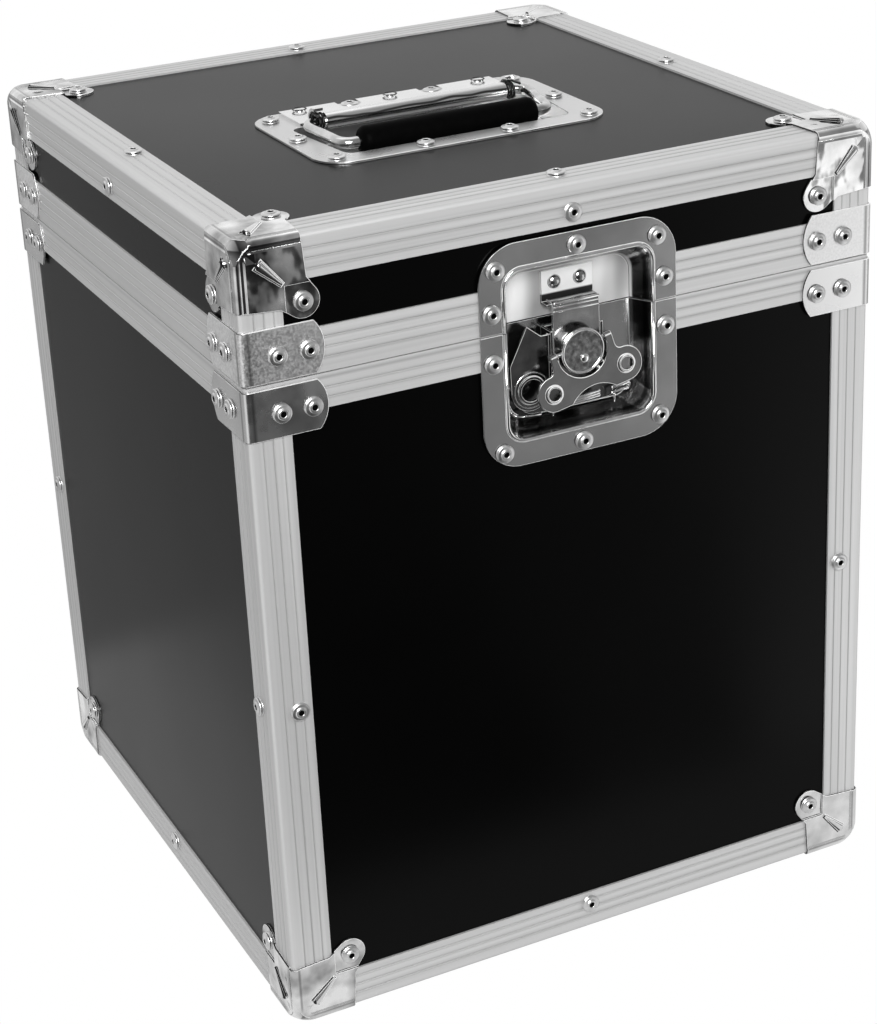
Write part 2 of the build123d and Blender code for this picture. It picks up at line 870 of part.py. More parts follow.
# Keeper on the lid half: riveted sheet whose shelf the hook pulls down on
shelf_top = hook_top - hook_t - hook_seat_gap
with BuildPart() as latch_keeper:
    with BuildSketch(deep(hook_face, back_of_recess)):
        with Locations((0, (shelf_top - keeper_t + keeper_top) / 2)):
            Rectangle(keeper_w, keeper_top - shelf_top + keeper_t)
    extrude(amount=keeper_t)
    with BuildSketch(deep(hook_face, back_of_recess)):
        with Locations((0, shelf_top - keeper_t / 2)):
            Rectangle(keeper_w, keeper_t)
    extrude(amount=back_of_recess - keeper_shelf)
    with BuildSketch(deep(hook_face, back_of_recess - keeper_t)):
        with Locations((-keeper_rivet_at, keeper_rivet_up), (keeper_rivet_at, keeper_rivet_up)):
            Circle(keeper_rivet_r)
    extrude(amount=keeper_rivet_h, taper=45)
save(latch_keeper, "latch_keeper")

# Hook: a bent sheet with a yoke window for the eccentric and a lip over the keeper
window_h = 2 * (cam_r + cam_clear)
window_w = 2 * (cam_r + cam_throw + cam_clear)
window_z = -spindle_down - cam_throw
with BuildPart() as latch_hook:
    with BuildSketch(deep(hook_face, hook_deep + hook_t)):
        with Locations((0, (hook_top - hook_bottom) / 2)):
            Rectangle(hook_w, hook_top + hook_bottom)
        with Locations((0, window_z)):
            Rectangle(window_w, window_h, mode=Mode.SUBTRACT)
    extrude(amount=hook_t)
    with BuildSketch(deep(hook_face, hook_reach)):
        with Locations((0, hook_top - hook_t / 2)):
            Rectangle(hook_w, hook_t)
    extrude(amount=hook_reach - hook_deep)
    crest = latch_hook.edges().filter_by(Axis.X).sort_by(Axis.Y)
    crest = crest.filter_by(lambda e: e.center().Z > z_joint + hook_top - 0.01)
    fillet(crest[0], hook_bend_r)
save(latch_hook, "latch_hook")

# Spindle: face disc, drum, eccentric, journal with shoulder, and a peened tail
head_back = head_deep + head_t
cam_back = hook_deep + hook_t + cam_proud
shoulder_back = sheet_front - end_clear
tail_front = dish_depth + end_clear
turn = radians(wing_turn)
wing_face = Plane(spindle_face.origin, x_dir=(cos(turn), 0, sin(turn)), z_dir=(0, -1, 0))
with BuildPart() as latch_spindle:
    with BuildSketch(deep(spindle_face, head_back)):
        Circle(head_r)
    extrude(amount=head_t)
    face_rim = latch_spindle.edges().filter_by(GeomType.CIRCLE).sort_by(Axis.Y)[0]
    fillet(face_rim, head_t / 2)
    with BuildSketch(deep(spindle_face, head_deep)):
        with Locations(stud_at):
            Circle(stud_r)
    extrude(amount=stud_h, taper=20)
    with BuildSketch(deep(spindle_face, drum_back)):
        Circle(drum_r)
    extrude(amount=drum_back - head_back)
    with BuildSketch(deep(spindle_face, cam_back)):
        with Locations((0, -cam_throw)):
            Circle(cam_r)
    extrude(amount=cam_back - drum_back)
    with BuildSketch(deep(spindle_face, tail_front + tail_t)):
        Circle(journal_r)
    extrude(amount=tail_front + tail_t - cam_back)
    with BuildSketch(deep(spindle_face, shoulder_back)):
        Circle(shoulder_r)
    extrude(amount=shoulder_t)
    with BuildSketch(deep(spindle_face, tail_front + tail_t)):
        Circle(tail_r)
    extrude(amount=tail_t)
    pin_line = deep(wing_face, wing_pin_deep)
    pin_start = pin_line.from_local_coords(Vector(0, wing_pin_up, 0))
    pin_plane = Plane(pin_start, x_dir=wing_face.y_dir, z_dir=wing_face.x_dir)
    with BuildSketch(pin_plane):
        Circle(wing_pin_r)
    extrude(amount=head_r, both=True, mode=Mode.SUBTRACT)
save(latch_spindle, "latch_spindle")

# Cross pin that the wing folds on
with BuildPart() as wing_pin:
    with BuildSketch(pin_plane):
        Circle(wing_pin_r)
    extrude(amount=wing_curl_out, both=True)
save(wing_pin, "wing_pin")

def wing_outline():
    """Plate of the wing before its throat and waist are cut: horns, hollow flanks and lobes."""
    low = -wing_hole_at[1] - wing_lobe_r
    flank = wing_curl_out + wing_flank
    with BuildSketch() as outline:
        Polygon(
            (-wing_curl_out, wing_curl_r / 4),
            (wing_curl_out, wing_curl_r / 4),
            (flank, -wing_hole_at[1]),
            (wing_hole_at[0], low),
            (-wing_hole_at[0], low),
            (-flank, -wing_hole_at[1]),
            align=None,
        )
        with Locations((-wing_hole_at[0], -wing_hole_at[1]), (wing_hole_at[0], -wing_hole_at[1])):
            Circle(wing_lobe_r)
        inner = [v for v in outline.vertices() if abs(v.X) < flank and low / 2 < v.Y < 0]
        fillet(inner, wing_flank_r)
    return outline.sketch


# Wing: two lobes with finger holes, a throat round the disc and curled eyes on the pin
lean = radians(wing_lean)
lean_plane = Plane(
    pin_start,
    x_dir=wing_face.x_dir,
    z_dir=wing_face.z_dir * cos(lean) + wing_face.y_dir * sin(lean),
)
plate_back = wing_curl_r - wing_t
with BuildPart() as latch_wing:
    with BuildSketch(lean_plane.offset(plate_back)):
        add(wing_outline())
        with Locations((0, -wing_pin_up)):
            Circle(wing_throat_r, mode=Mode.SUBTRACT)
        with Locations((0, -wing_waist_at - wing_waist_r)):
            Circle(wing_waist_r, mode=Mode.SUBTRACT)
    extrude(amount=wing_t)
    with BuildSketch(lean_plane.offset(plate_back + wing_t)):
        with Locations((-wing_hole_at[0], -wing_hole_at[1]), (wing_hole_at[0], -wing_hole_at[1])):
            Circle(wing_rim_r)
    extrude(amount=bead_h, taper=30)
    with BuildSketch(pin_plane):
        Circle(wing_curl_r)
    extrude(amount=wing_curl_out, both=True)
    with BuildSketch(pin_plane):
        Circle(wing_curl_r)
    extrude(amount=wing_curl_in, both=True, mode=Mode.SUBTRACT)
    with BuildSketch(pin_plane):
        Circle(wing_pin_r + running_clear)
    extrude(amount=2 * wing_curl_out, both=True, mode=Mode.SUBTRACT)
    with BuildSketch(lean_plane):
        with Locations((-wing_hole_at[0], -wing_hole_at[1]), (wing_hole_at[0], -wing_hole_at[1])):
            Circle(wing_hole_r)
    extrude(amount=wing_lobe_r, both=True, mode=Mode.SUBTRACT)
save(latch_wing, "latch_wing")


def tub_outline(grow, radius):
    """Outline of the handle's opening, wider at the pivots than at the grip."""
    with BuildSketch() as outline:
        Polygon(
            (-tub_front_w / 2 - grow, -tub_front - grow),
            (tub_front_w / 2 + grow, -tub_front - grow),
            (tub_back_w / 2 + grow, tub_back + grow),
            (-tub_back_w / 2 - grow, tub_back + grow),
            align=None,
        )
        fillet(outline.vertices(), radius)
    return outline.sketch


# Handle dish: flange on the top panel and a tub sunk through it
with BuildPart() as handle_dish:
    with BuildSketch(handle_face.offset(-handle_t)):
        RectangleRounded(handle_w, handle_l, handle_r)
    extrude(amount=handle_t)
    with BuildSketch(handle_face.offset(-tub_depth - handle_t)):
        add(tub_outline(handle_t, tub_r + handle_t))
    extrude(amount=tub_depth)
    with BuildSketch(handle_face.offset(-tub_depth)):
        add(tub_outline(0, tub_r))
    extrude(amount=2 * tub_depth, mode=Mode.SUBTRACT)
save(handle_dish, "handle_dish")

pivot_line = Plane(
    handle_face.origin + Vector(0, pivot_y, pivot_up), x_dir=(0, 1, 0), z_dir=(1, 0, 0)
)

def curl(radius, thick, start, turn):
    """Strip of sheet curled to a radius, as a section."""
    with BuildSketch() as section:
        with BuildLine():
            inner = CenterArc((0, 0), radius, start, turn)
            outer = CenterArc((0, 0), radius + thick, start, turn)
            Line(inner @ 0, outer @ 0)
            Line(inner @ 1, outer @ 1)
        make_face()
    return section.sketch


# Barrel plate: sheet on the rear of the flange, rolled round the bail's ends and over the springs
with BuildPart() as handle_barrel_plate:
    with BuildSketch(handle_face):
        with Locations((0, (tub_back + 1 + barrel_plate_back) / 2)):
            Rectangle(2 * barrel_plate_half, barrel_plate_back - tub_back - 1)
        for u, v in handle_rivets:
            if abs(u) < barrel_plate_half and v > 0:
                with Locations((u, v)):
                    Circle(barrel_notch_r, mode=Mode.SUBTRACT)
                with Locations((u, v + barrel_notch_r)):
                    Rectangle(2 * barrel_notch_r, 2 * barrel_notch_r, mode=Mode.SUBTRACT)
    extrude(amount=barrel_t)
    with BuildSketch(handle_face):
        with Locations((0, (pivot_y + tub_back + 2) / 2)):
            Rectangle(2 * barrel_half, tub_back + 2 - pivot_y)
    extrude(amount=barrel_t)
    with BuildSketch(pivot_line):
        Circle(barrel_hole_r + barrel_t)
    extrude(amount=barrel_half, both=True)
    with BuildSketch(pivot_line):
        Circle(barrel_hole_r)
    extrude(amount=barrel_half + 1, both=True, mode=Mode.SUBTRACT)
    for sign in (-1, 1):
        with BuildSketch(pivot_line.offset(sign * ear_in)):
            add(curl(ear_r, barrel_t, ear_start, ear_turn))
            foot = tub_back + 2 - pivot_y - ear_r
            with Locations((ear_r + foot / 2, barrel_t / 2 - pivot_up)):
                Rectangle(foot, barrel_t)
        extrude(amount=sign * (ear_out - ear_in))
    for along in barrel_ring_at:
        for sign in (-1, 1):
            if along or sign > 0:
                with Locations(handle_face.from_local_coords(Vector(sign * along, barrel_ring_y, 0))):
                    Cylinder(barrel_ring_r, 4 * barrel_t, mode=Mode.SUBTRACT)
save(handle_barrel_plate, "handle_barrel_plate")

# Bail: one bent rod, its ends lying in the barrel
arm_run = hypot(pivot_y - rod_y, pivot_up - rod_up)
bail_plane = Plane(
    handle_face.origin + Vector(0, pivot_y, pivot_up),
    x_dir=(1, 0, 0),
    z_dir=(0, -(pivot_up - rod_up) / arm_run, (pivot_y - rod_y) / arm_run),
)
with BuildPart() as handle_bail:
    with BuildLine(bail_plane) as bail_path:
        FilletPolyline(
            (-rod_in, 0),
            (-arm_back, 0),
            (-arm_front, -arm_run),
            (arm_front, -arm_run),
            (arm_back, 0),
            (rod_in, 0),
            radius=rod_bend,
        )
    with BuildSketch(Plane(bail_path.line @ 0, z_dir=bail_path.line % 0)):
        Circle(rod_r)
    sweep(path=bail_path.line)
save(handle_bail, "handle_bail")

# Grip: rubber sleeve over the middle of the bail
grip_line = Plane(
    handle_face.origin + Vector(0, rod_y, rod_up), x_dir=(0, 1, 0), z_dir=(1, 0, 0)
)
with BuildPart() as handle_grip:
    with BuildSketch(grip_line):
        Circle(grip_r)
    extrude(amount=grip_l / 2, both=True)
    fillet(handle_grip.edges().filter_by(GeomType.CIRCLE), grip_end_r)
    with BuildSketch(grip_line):
        Circle(rod_r + grip_clear)
    extrude(amount=grip_l, both=True, mode=Mode.SUBTRACT)
save(handle_grip, "handle_grip")


def biarc(start, end, start_dir, end_dir):
    """Two arcs that leave and arrive along the given unit directions."""
    chord = end - start
    both = start_dir + end_dir
    spare = 4 - both.dot(both)
    root = sqrt(chord.dot(both) ** 2 + spare * chord.dot(chord))
    reach = (root - chord.dot(both)) / spare
    near = start + start_dir * reach
    far = end - end_dir * reach
    joint = (near + far) * 0.5
    TangentArc(start, joint, tangent=start_dir)
    TangentArc(joint, end, tangent=(far - near).normalized())


def coil_point(sign, quarter):
    """Point and direction of the wire after a number of quarter turns."""
    angle = quarter * pi / 2
    pitch = (coil_end - coil_start) / coil_quarters
    centre = pivot_line.origin
    spot = centre + Vector(
        sign * (coil_start + pitch * quarter), coil_r * cos(angle), coil_r * sin(angle)
    )
    run = Vector(sign * pitch, -coil_r * pi / 2 * sin(angle), coil_r * pi / 2 * cos(angle))
    return spot, run.normalized()


def coil_wire(sign):
    """Torsion spring round one end of the bail: leg, coil and leg in one wire."""
    first, first_dir = coil_point(sign, 0)
    last, last_dir = coil_point(sign, coil_quarters)
    with BuildPart() as spring:
        with BuildLine() as wire:
            Line(first - first_dir * coil_leg_down, first)
            for quarter in range(coil_quarters):
                spot, spot_dir = coil_point(sign, quarter)
                nxt, nxt_dir = coil_point(sign, quarter + 1)
                biarc(spot, nxt, spot_dir, nxt_dir)
            Line(last, last + last_dir * coil_leg_out)
        with BuildSketch(Plane(wire.line @ 0, z_dir=wire.line % 0)):
            Circle(coil_wire_r)
        sweep(path=wire.line)
    return spring.part


# Two torsion springs that pull the handle flat
with BuildPart() as handle_springs:
    for sign in (-1, 1):
        add(coil_wire(sign))
save(handle_springs, "handle_springs")
turn_pitch = 4 * (coil_end - coil_start) / coil_quarters
slope = atan2(turn_pitch, 2 * pi * coil_r)
print("least gap between the spring's turns:", round(turn_pitch * cos(slope) - 2 * coil_wire_r, 3))

joint_line = Plane((0, hinge_y, z_joint), x_dir=(0, 1, 0), z_dir=(1, 0, 0))


def hinge_leaf(up, knuckles):
    """Leaf flat on the rear of the case with its knuckles round the joint line."""
    height = leaf_lid_h if up > 0 else leaf_base_h
    root = knuckle_r * 0.98
    with BuildPart() as leaf:
        for centre in (-hinge_x, hinge_x):
            with BuildSketch(sides["back"]):
                with Locations((-centre, z_joint + up * (leaf_clear + height) / 2)):
                    Rectangle(leaf_w, height - leaf_clear)
            extrude(amount=leaf_t)
            for low, high in knuckles:
                with BuildSketch(sides["back"]):
                    with Locations((-centre - (low + high) / 2, z_joint + up * leaf_clear / 2)):
                        Rectangle(high - low, leaf_clear)
                extrude(amount=leaf_t)
                with BuildSketch(joint_line.offset(centre + low)):
                    Circle(knuckle_r)
                extrude(amount=high - low)
        with BuildSketch(joint_line):
            Circle(hinge_pin_r + running_clear)
        extrude(amount=case_w, both=True, mode=Mode.SUBTRACT)
    return leaf


half_leaf = leaf_w / 2
half_knuckle = lid_knuckle_w / 2
save(hinge_leaf(1, ((-half_knuckle, half_knuckle),)), "hinge_lid_leaves")
outer_knuckles = (
    (-half_leaf, -half_knuckle - knuckle_gap),
    (half_knuckle + knuckle_gap, half_leaf),
)
save(hinge_leaf(-1, outer_knuckles), "hinge_base_leaves")

# Hinge pins
with BuildPart() as hinge_pins:
    for centre in (-hinge_x, hinge_x):
        with BuildSketch(joint_line.offset(centre)):
            Circle(hinge_pin_r)
        extrude(amount=half_leaf, both=True)
save(hinge_pins, "hinge_pins")

pocket_w = recess_w + 2 * (dish_t + foam_pocket)
tail_room = dish_depth + end_clear + tail_t + foam_pocket

# Floor foam with the ball's seat
foam_low = z_floor + foam_gap
foam_mid = z_floor + floor_foam_h
with BuildPart() as base_floor_foam:
    with BuildSketch(Plane.XY.offset(foam_low)):
        Rectangle(case_w - 2 * (wall_in + foam_gap), case_d - 2 * (wall_in + foam_gap))
    extrude(amount=foam_mid - foam_low)
    with Locations((0, 0, ball_z)):
        Sphere(ball_r + ball_clear, mode=Mode.SUBTRACT)
save(base_floor_foam, "base_floor_foam")

# Foam sheets behind the walls of the base
sheet_low = foam_mid + foam_gap
sheet_high = base_top - base_lip_h - foam_gap
for name, side in sides.items():
    length = side_len[name] - 2 * (wall_in + foam_gap)
    if name in ("left", "right"):
        length -= 2 * (wall_foam_t + foam_gap)
    with BuildPart() as wall_foam:
        with BuildSketch(deep(side, wall_in + foam_gap)):
            with Locations((0, (sheet_low + sheet_high) / 2)):
                Rectangle(length, sheet_high - sheet_low)
        extrude(amount=-wall_foam_t)
        if name == "front":
            with BuildSketch(joint_face):
                with Locations((latch_x, 0)):
                    Rectangle(pocket_w, 2 * (recess_down + dish_t + foam_pocket))
            extrude(amount=-tail_room, mode=Mode.SUBTRACT)
    save(wall_foam, f"base_wall_foam_{name}")

# Lid foam with a shallow seat over the ball and pockets for the two dishes
lid_foam_low = z_joint + lid_foam_up
with BuildPart() as lid_foam:
    with BuildSketch(Plane.XY.offset(lid_foam_low)):
        Rectangle(case_w - 2 * lid_foam_in, case_d - 2 * lid_foam_in)
    extrude(amount=z_ceiling - foam_gap - lid_foam_low)
    with Locations((0, 0, ball_z)):
        Sphere(ball_r + ball_clear, mode=Mode.SUBTRACT)
    with BuildSketch(joint_face):
        with Locations((latch_x, 0)):
            Rectangle(pocket_w, 2 * (recess_up + dish_t + foam_pocket))
    extrude(amount=-tail_room, mode=Mode.SUBTRACT)
    with BuildSketch(handle_face.offset(-tub_depth - handle_t - foam_pocket)):
        add(tub_outline(handle_t + foam_pocket, tub_r))
    extrude(amount=tub_depth, mode=Mode.SUBTRACT)
save(lid_foam, "lid_foam")
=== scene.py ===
# %% [markdown]
# # Mirror ball flight case: looks
#
# The case is plywood with a black laminate, held in fluted aluminium angle
# with pressed steel corners. The pieces that fit together come from the CAD
# frame, which this script loads and never moves. Each piece gets its finish
# here, and small pressed forms that catch the light are modelled over it. The
# order is finishes, then forms, then camera and light.

import json
from math import cos, radians, sin

import bpy
from mathutils import Matrix, Vector

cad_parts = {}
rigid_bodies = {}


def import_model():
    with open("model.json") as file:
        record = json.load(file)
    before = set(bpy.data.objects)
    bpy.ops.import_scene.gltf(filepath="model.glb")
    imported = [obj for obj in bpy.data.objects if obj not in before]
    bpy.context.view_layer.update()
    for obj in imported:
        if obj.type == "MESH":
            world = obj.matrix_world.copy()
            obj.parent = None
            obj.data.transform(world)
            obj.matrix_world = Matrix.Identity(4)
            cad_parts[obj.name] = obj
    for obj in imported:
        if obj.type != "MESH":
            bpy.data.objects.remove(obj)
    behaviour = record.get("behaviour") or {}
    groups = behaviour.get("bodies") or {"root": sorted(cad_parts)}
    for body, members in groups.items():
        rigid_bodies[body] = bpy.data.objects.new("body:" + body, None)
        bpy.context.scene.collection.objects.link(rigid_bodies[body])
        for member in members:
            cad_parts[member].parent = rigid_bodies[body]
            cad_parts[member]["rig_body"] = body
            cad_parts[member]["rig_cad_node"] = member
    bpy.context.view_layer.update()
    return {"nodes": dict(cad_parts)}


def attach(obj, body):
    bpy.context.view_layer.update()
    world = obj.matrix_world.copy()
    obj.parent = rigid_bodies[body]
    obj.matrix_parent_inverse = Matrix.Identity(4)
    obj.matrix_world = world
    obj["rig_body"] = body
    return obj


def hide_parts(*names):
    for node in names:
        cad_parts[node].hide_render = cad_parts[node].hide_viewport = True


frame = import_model()
nodes = frame["nodes"]
scene = bpy.context.scene
MM = 0.001
print(len(nodes), "pieces in the frame")

# %% [markdown]
# ## Sizes shared with the frame
#
# Finishes and small forms have to land on the right spot of the real piece,
# so they are placed from a few driving sizes of the case. All are in
# millimetres. The origin is in the middle of the underside, +Z is up and the
# latch faces -Y.

# %% Sizes shared with the frame
half_case = 175.0
face = -half_case
z_foot = 2.1
z_top = z_foot + 424.0
z_joint = z_foot + 354.5
print(f"case {2 * half_case:.0f} wide, joint at {z_joint:.1f} and top at {z_top:.1f} mm")

# %% [markdown]
# ## Arithmetic on sockets
#
# A finish is easiest to read as arithmetic: one noise times a third plus
# another times two thirds. Blender does this with Math nodes. A small class
# wraps a socket, so that plain expressions add those nodes, and `1 - mask`
# works as `mask - 1` does.


# %% Arithmetic on sockets
class Term:
    """A shader value that can be written in arithmetic."""

    def __init__(self, tree, socket):
        self.tree = tree
        self.socket = socket

    def math(self, operation, *values):
        node = self.tree.make("ShaderNodeMath", {"operation": operation}, *values)
        return Term(self.tree, node.outputs[0])

    def __add__(self, other):
        return self.math("ADD", self, other)

    def __radd__(self, other):
        return self.math("ADD", other, self)

    def __sub__(self, other):
        return self.math("SUBTRACT", self, other)

    def __rsub__(self, other):
        return self.math("SUBTRACT", other, self)

    def __mul__(self, other):
        return self.math("MULTIPLY", self, other)

    def __rmul__(self, other):
        return self.math("MULTIPLY", other, self)

    def __truediv__(self, other):
        return self.math("DIVIDE", self, other)

    def __rtruediv__(self, other):
        return self.math("DIVIDE", other, self)

    def clamp(self):
        return self.math("MINIMUM", self.math("MAXIMUM", self, 0.0), 1.0)

    def above(self, edge, soft):
        """0 below the edge and 1 above it, with a soft step."""
        return ((self - edge) / soft + 0.5).clamp()

    def spread(self, contrast):
        """Stretches a value about its middle and holds it between 0 and 1."""
        return ((self - 0.5) * contrast + 0.5).clamp()

    def distance_from(self, value):
        return self.math("ABSOLUTE", self - value)

    def larger(self, other):
        return self.math("MAXIMUM", self, other)

    def smaller(self, other):
        return self.math("MINIMUM", self, other)

    def angle_from(self, other):
        """Angle in radians whose tangent is this value over the other."""
        return self.math("ARCTAN2", self, other)

    def eased(self, start, end, low, high):
        """Smooth change from low to high while the value runs from start to end."""
        settings = {"interpolation_type": "SMOOTHSTEP"}
        node = self.tree.make("ShaderNodeMapRange", settings, self, start, end, low, high)
        return Term(self.tree, node.outputs[0])


# %% [markdown]
# ## One way to make nodes
#
# Every other node comes from one method. It takes the node's type, its
# settings, and what goes into its sockets in order. Materials, the floor and
# the sky are all trees of nodes, so they share it.


# %% Node trees
def grey(value):
    return (value, value, value, 1.0)


def set_stops(color_ramp, stops):
    """Brightness along a value from 0 to 1, through (place, brightness) pairs."""
    for index, (place, level) in enumerate(stops):
        if index < 2:
            element = color_ramp.elements[index]
            element.position = place
        else:
            element = color_ramp.elements.new(place)
        element.color = grey(level)


class Tree:
    """The nodes of a material or of the world."""

    def __init__(self, owner):
        owner.use_nodes = True
        self.nodes = owner.node_tree.nodes
        self.links = owner.node_tree.links

    def feed(self, socket, value):
        if isinstance(value, Term):
            value = value.socket
        if isinstance(value, bpy.types.NodeSocket):
            self.links.new(value, socket)
        elif value is not None:
            socket.default_value = value

    def make(self, kind, settings=None, *values):
        """Adds a node, sets it and feeds its inputs in order with numbers, terms or sockets."""
        node = self.nodes.new(kind)
        for key, value in (settings or {}).items():
            if key == "stops":
                set_stops(node.color_ramp, value)
            else:
                setattr(node, key, value)
        for socket, value in zip(node.inputs, values):
            self.feed(socket, value)
        return node

    def mix(self, factor, first, second):
        """Colour between two colours."""
        unused = (None,) * 5
        return self.make("ShaderNodeMix", {"data_type": "RGBA"}, factor, *unused, first, second).outputs[2]

    def coordinates(self, kind):
        """x, y and z of a texture coordinate, as terms."""
        vector = self.make("ShaderNodeTexCoord").outputs[kind]
        split = self.make("ShaderNodeSeparateXYZ", None, vector)
        return [Term(self, socket) for socket in split.outputs]


# %% [markdown]
# ## A finish
#
# A finish is a Principled surface whose colour, gloss and fine relief change
# over the piece. The patterns read object coordinates. They are solid, like
# grain in wood, so they need no unwrapping and stay put when a piece moves.


# %% A finish
class Shade(Tree):
    """A material with one Principled surface on object coordinates in millimetres."""

    def __init__(self, name, slot, **constants):
        self.material = bpy.data.materials.new(name)
        super().__init__(self.material)
        self.slot = slot
        self.surface = self.nodes["Principled BSDF"]
        for socket, value in constants.items():
            self.surface.inputs[socket.replace("_", " ")].default_value = value
        self.place = self.make("ShaderNodeTexCoord").outputs["Object"]
        self.x, self.y, self.z = (term / MM for term in self.coordinates("Object"))

    def facing(self, axis):
        """Part of the surface's own direction along x, y or z, from -1 to 1."""
        return self.coordinates("Normal")["xyz".index(axis)]

    def stretched(self, scale):
        """Object coordinates scaled by axis, for grain that runs one way."""
        return self.make("ShaderNodeVectorMath", {"operation": "MULTIPLY"}, self.place, scale).outputs[0]

    def noise(self, scale, detail=2.0, vector=None):
        node = self.make("ShaderNodeTexNoise")
        self.feed(node.inputs["Vector"], vector or self.place)
        self.feed(node.inputs["Scale"], scale)
        self.feed(node.inputs["Detail"], detail)
        return Term(self, node.outputs["Fac"])

    def set(self, socket, value):
        self.feed(self.surface.inputs[socket], value)

    def bump(self, height, distance, strength=1.0):
        """Height in parts of the given distance in millimetres."""
        node = self.make("ShaderNodeBump")
        self.feed(node.inputs["Strength"], strength)
        self.feed(node.inputs["Distance"], distance * MM)
        self.feed(node.inputs["Height"], height)
        self.set("Normal", node.outputs["Normal"])

    def dress(self, *pieces):
        for piece in pieces:
            piece.data.materials.clear()
            piece.data.materials.append(self.material)


# %% [markdown]
# ## Black laminate
#
# The panels are plywood faced with a phenolic or melamine film. It is nearly
# black and a little glossy, and its fine texture spreads what it mirrors. One
# flat value would look like a hole in the picture, so a slow noise varies
# colour and gloss a little, and a fine one gives the film's texture. The
# specular level is low, because such film mirrors far less than paint.

# %% Black laminate
laminate = Shade("black_laminate", "panel_laminate", Specular_IOR_Level=0.08, IOR=1.45)
laminate_cloud = laminate.noise(9.0, 3.0)
laminate.set("Base Color", laminate.mix(laminate_cloud, grey(0.0006), grey(0.0010)))
laminate.set("Roughness", 0.22 + laminate_cloud * 0.08)
laminate.bump(laminate.noise(2600.0, 2.0), 0.03, 0.25)
panels = [piece for name, piece in nodes.items() if "_panel_" in name]
laminate.dress(*panels)
print(len(panels), "panels in black laminate")

# %% [markdown]
# ## Fluted aluminium
#
# The angles are extruded, so drawing lines run along each length, and a
# satin anodising makes them pale and even. Each flange carries three fine
# flutes, whose colour is darkened as painted shade. That painted shade could
# come from an image, but it lies at fixed distances from the outer edge, so
# the mask is worked out from that distance and holds for every length of trim.


# %% Distances from the case's outside
def from_left_or_right(shade):
    return half_case - shade.x.distance_from(0.0)


def from_front_or_back(shade):
    return half_case - shade.y.distance_from(0.0)


def from_top_or_bottom(shade):
    return (z_top - shade.z).smaller(shade.z - z_foot)


# %% Satin aluminium
flutes = (7.3, 12.35, 17.4)


def flute_shade_mask(across, half, soft):
    """Painted shade, 1 in the flutes of a trim, from the distance to its outer edge in millimetres."""
    mask = None
    for flute in flutes:
        line = 1.0 - across.distance_from(flute).above(half, soft)
        mask = line if mask is None else mask.larger(line)
    return mask


def satin_aluminium(name, grain_scale, across_of, half=0.8, soft=1.3, depth=0.5):
    """Anodised angle with its grain along one axis and painted shade in its flutes, as deep as depth says.
    """
    shade = Shade(name, "angle_aluminium", Metallic=0.55)
    grain = shade.noise(1.0, 2.0, shade.stretched(grain_scale))
    streaks = shade.noise(1.0, 1.0, shade.stretched(tuple(value * 0.34 for value in grain_scale)))
    dark = flute_shade_mask(across_of(shade), half, soft)
    tone = (grain * 0.35 + streaks * 0.65).spread(1.8)
    pale = shade.mix(tone, grey(0.47), grey(0.62))
    # Painted shade: the flutes' colour is pulled towards a dark grey.
    shade.set("Base Color", shade.mix(dark * depth, pale, grey(0.24)))
    shade.set("Roughness", 0.46 + grain * 0.10)
    shade.bump(grain, 0.03, 0.3)
    return shade


grain_along = {"x": (6.0, 900.0, 900.0), "y": (900.0, 6.0, 900.0), "z": (900.0, 900.0, 6.0)}
print("drawing lines run along", ", ".join(grain_along))

# %% [markdown]
# The edges that run front to back catch light from the side, which leaves
# their flutes pale, so their painted shade is only half as deep. The posts'
# flutes look thinner and crisper than the rest, so their painted shade is narrower.

# %% Edges and posts
# Depth of the painted shade in the flutes of edges that run front to back.
side_flute_shade = 0.25


def larger_of(first, second):
    """The larger of two distances, which is the one across a flange."""
    return lambda shade: first(shade).larger(second(shade))


across_x = larger_of(from_front_or_back, from_top_or_bottom)
across_y = larger_of(from_left_or_right, from_top_or_bottom)
across_z = larger_of(from_left_or_right, from_front_or_back)
edge_along = {
    "x": satin_aluminium("edge_aluminium_x", grain_along["x"], across_x),
    "y": satin_aluminium("edge_aluminium_y", grain_along["y"], across_y, depth=side_flute_shade),
}
post = satin_aluminium("post_aluminium", grain_along["z"], across_z, half=0.45, soft=0.6)


def runs_along(name):
    """Axis that a level trim of the frame runs along."""
    return "x" if name.endswith(("front", "back")) else "y"


edges = [name for name in nodes if "_edge_" in name]
posts = [name for name in nodes if "_post" in name]
for name in edges:
    edge_along[runs_along(name)].dress(nodes[name])
post.dress(*(nodes[name] for name in posts))
print(len(edges), "level edges and", len(posts), "nodes of posts in aluminium")

# %% [markdown]
# The two strips that close the joint are profiles of their own. Their flutes
# are counted from the strip's lower edge instead of the case's corner.

# %% Joint profiles
joint_gap = 0.5
base_strip_h = 17.6
strip_shift = 2.0
strip_low = {
    "base": z_joint - joint_gap / 2 - base_strip_h - strip_shift,
    "lid": z_joint + joint_gap / 2,
}
rim_finish = {}
for body, low in strip_low.items():
    for axis, depth in (("x", 0.5), ("y", side_flute_shade)):
        title = f"{body}_rim_aluminium_{axis}"
        rim_finish[body, axis] = satin_aluminium(
            title, grain_along[axis], lambda shade, low=low: shade.z - low, depth=depth
        )
rims = [name for name in nodes if "_rim_" in name]
for name in rims:
    rim_finish[name.split("_")[0], runs_along(name)].dress(nodes[name])
print(len(rims), "joint profiles in aluminium")
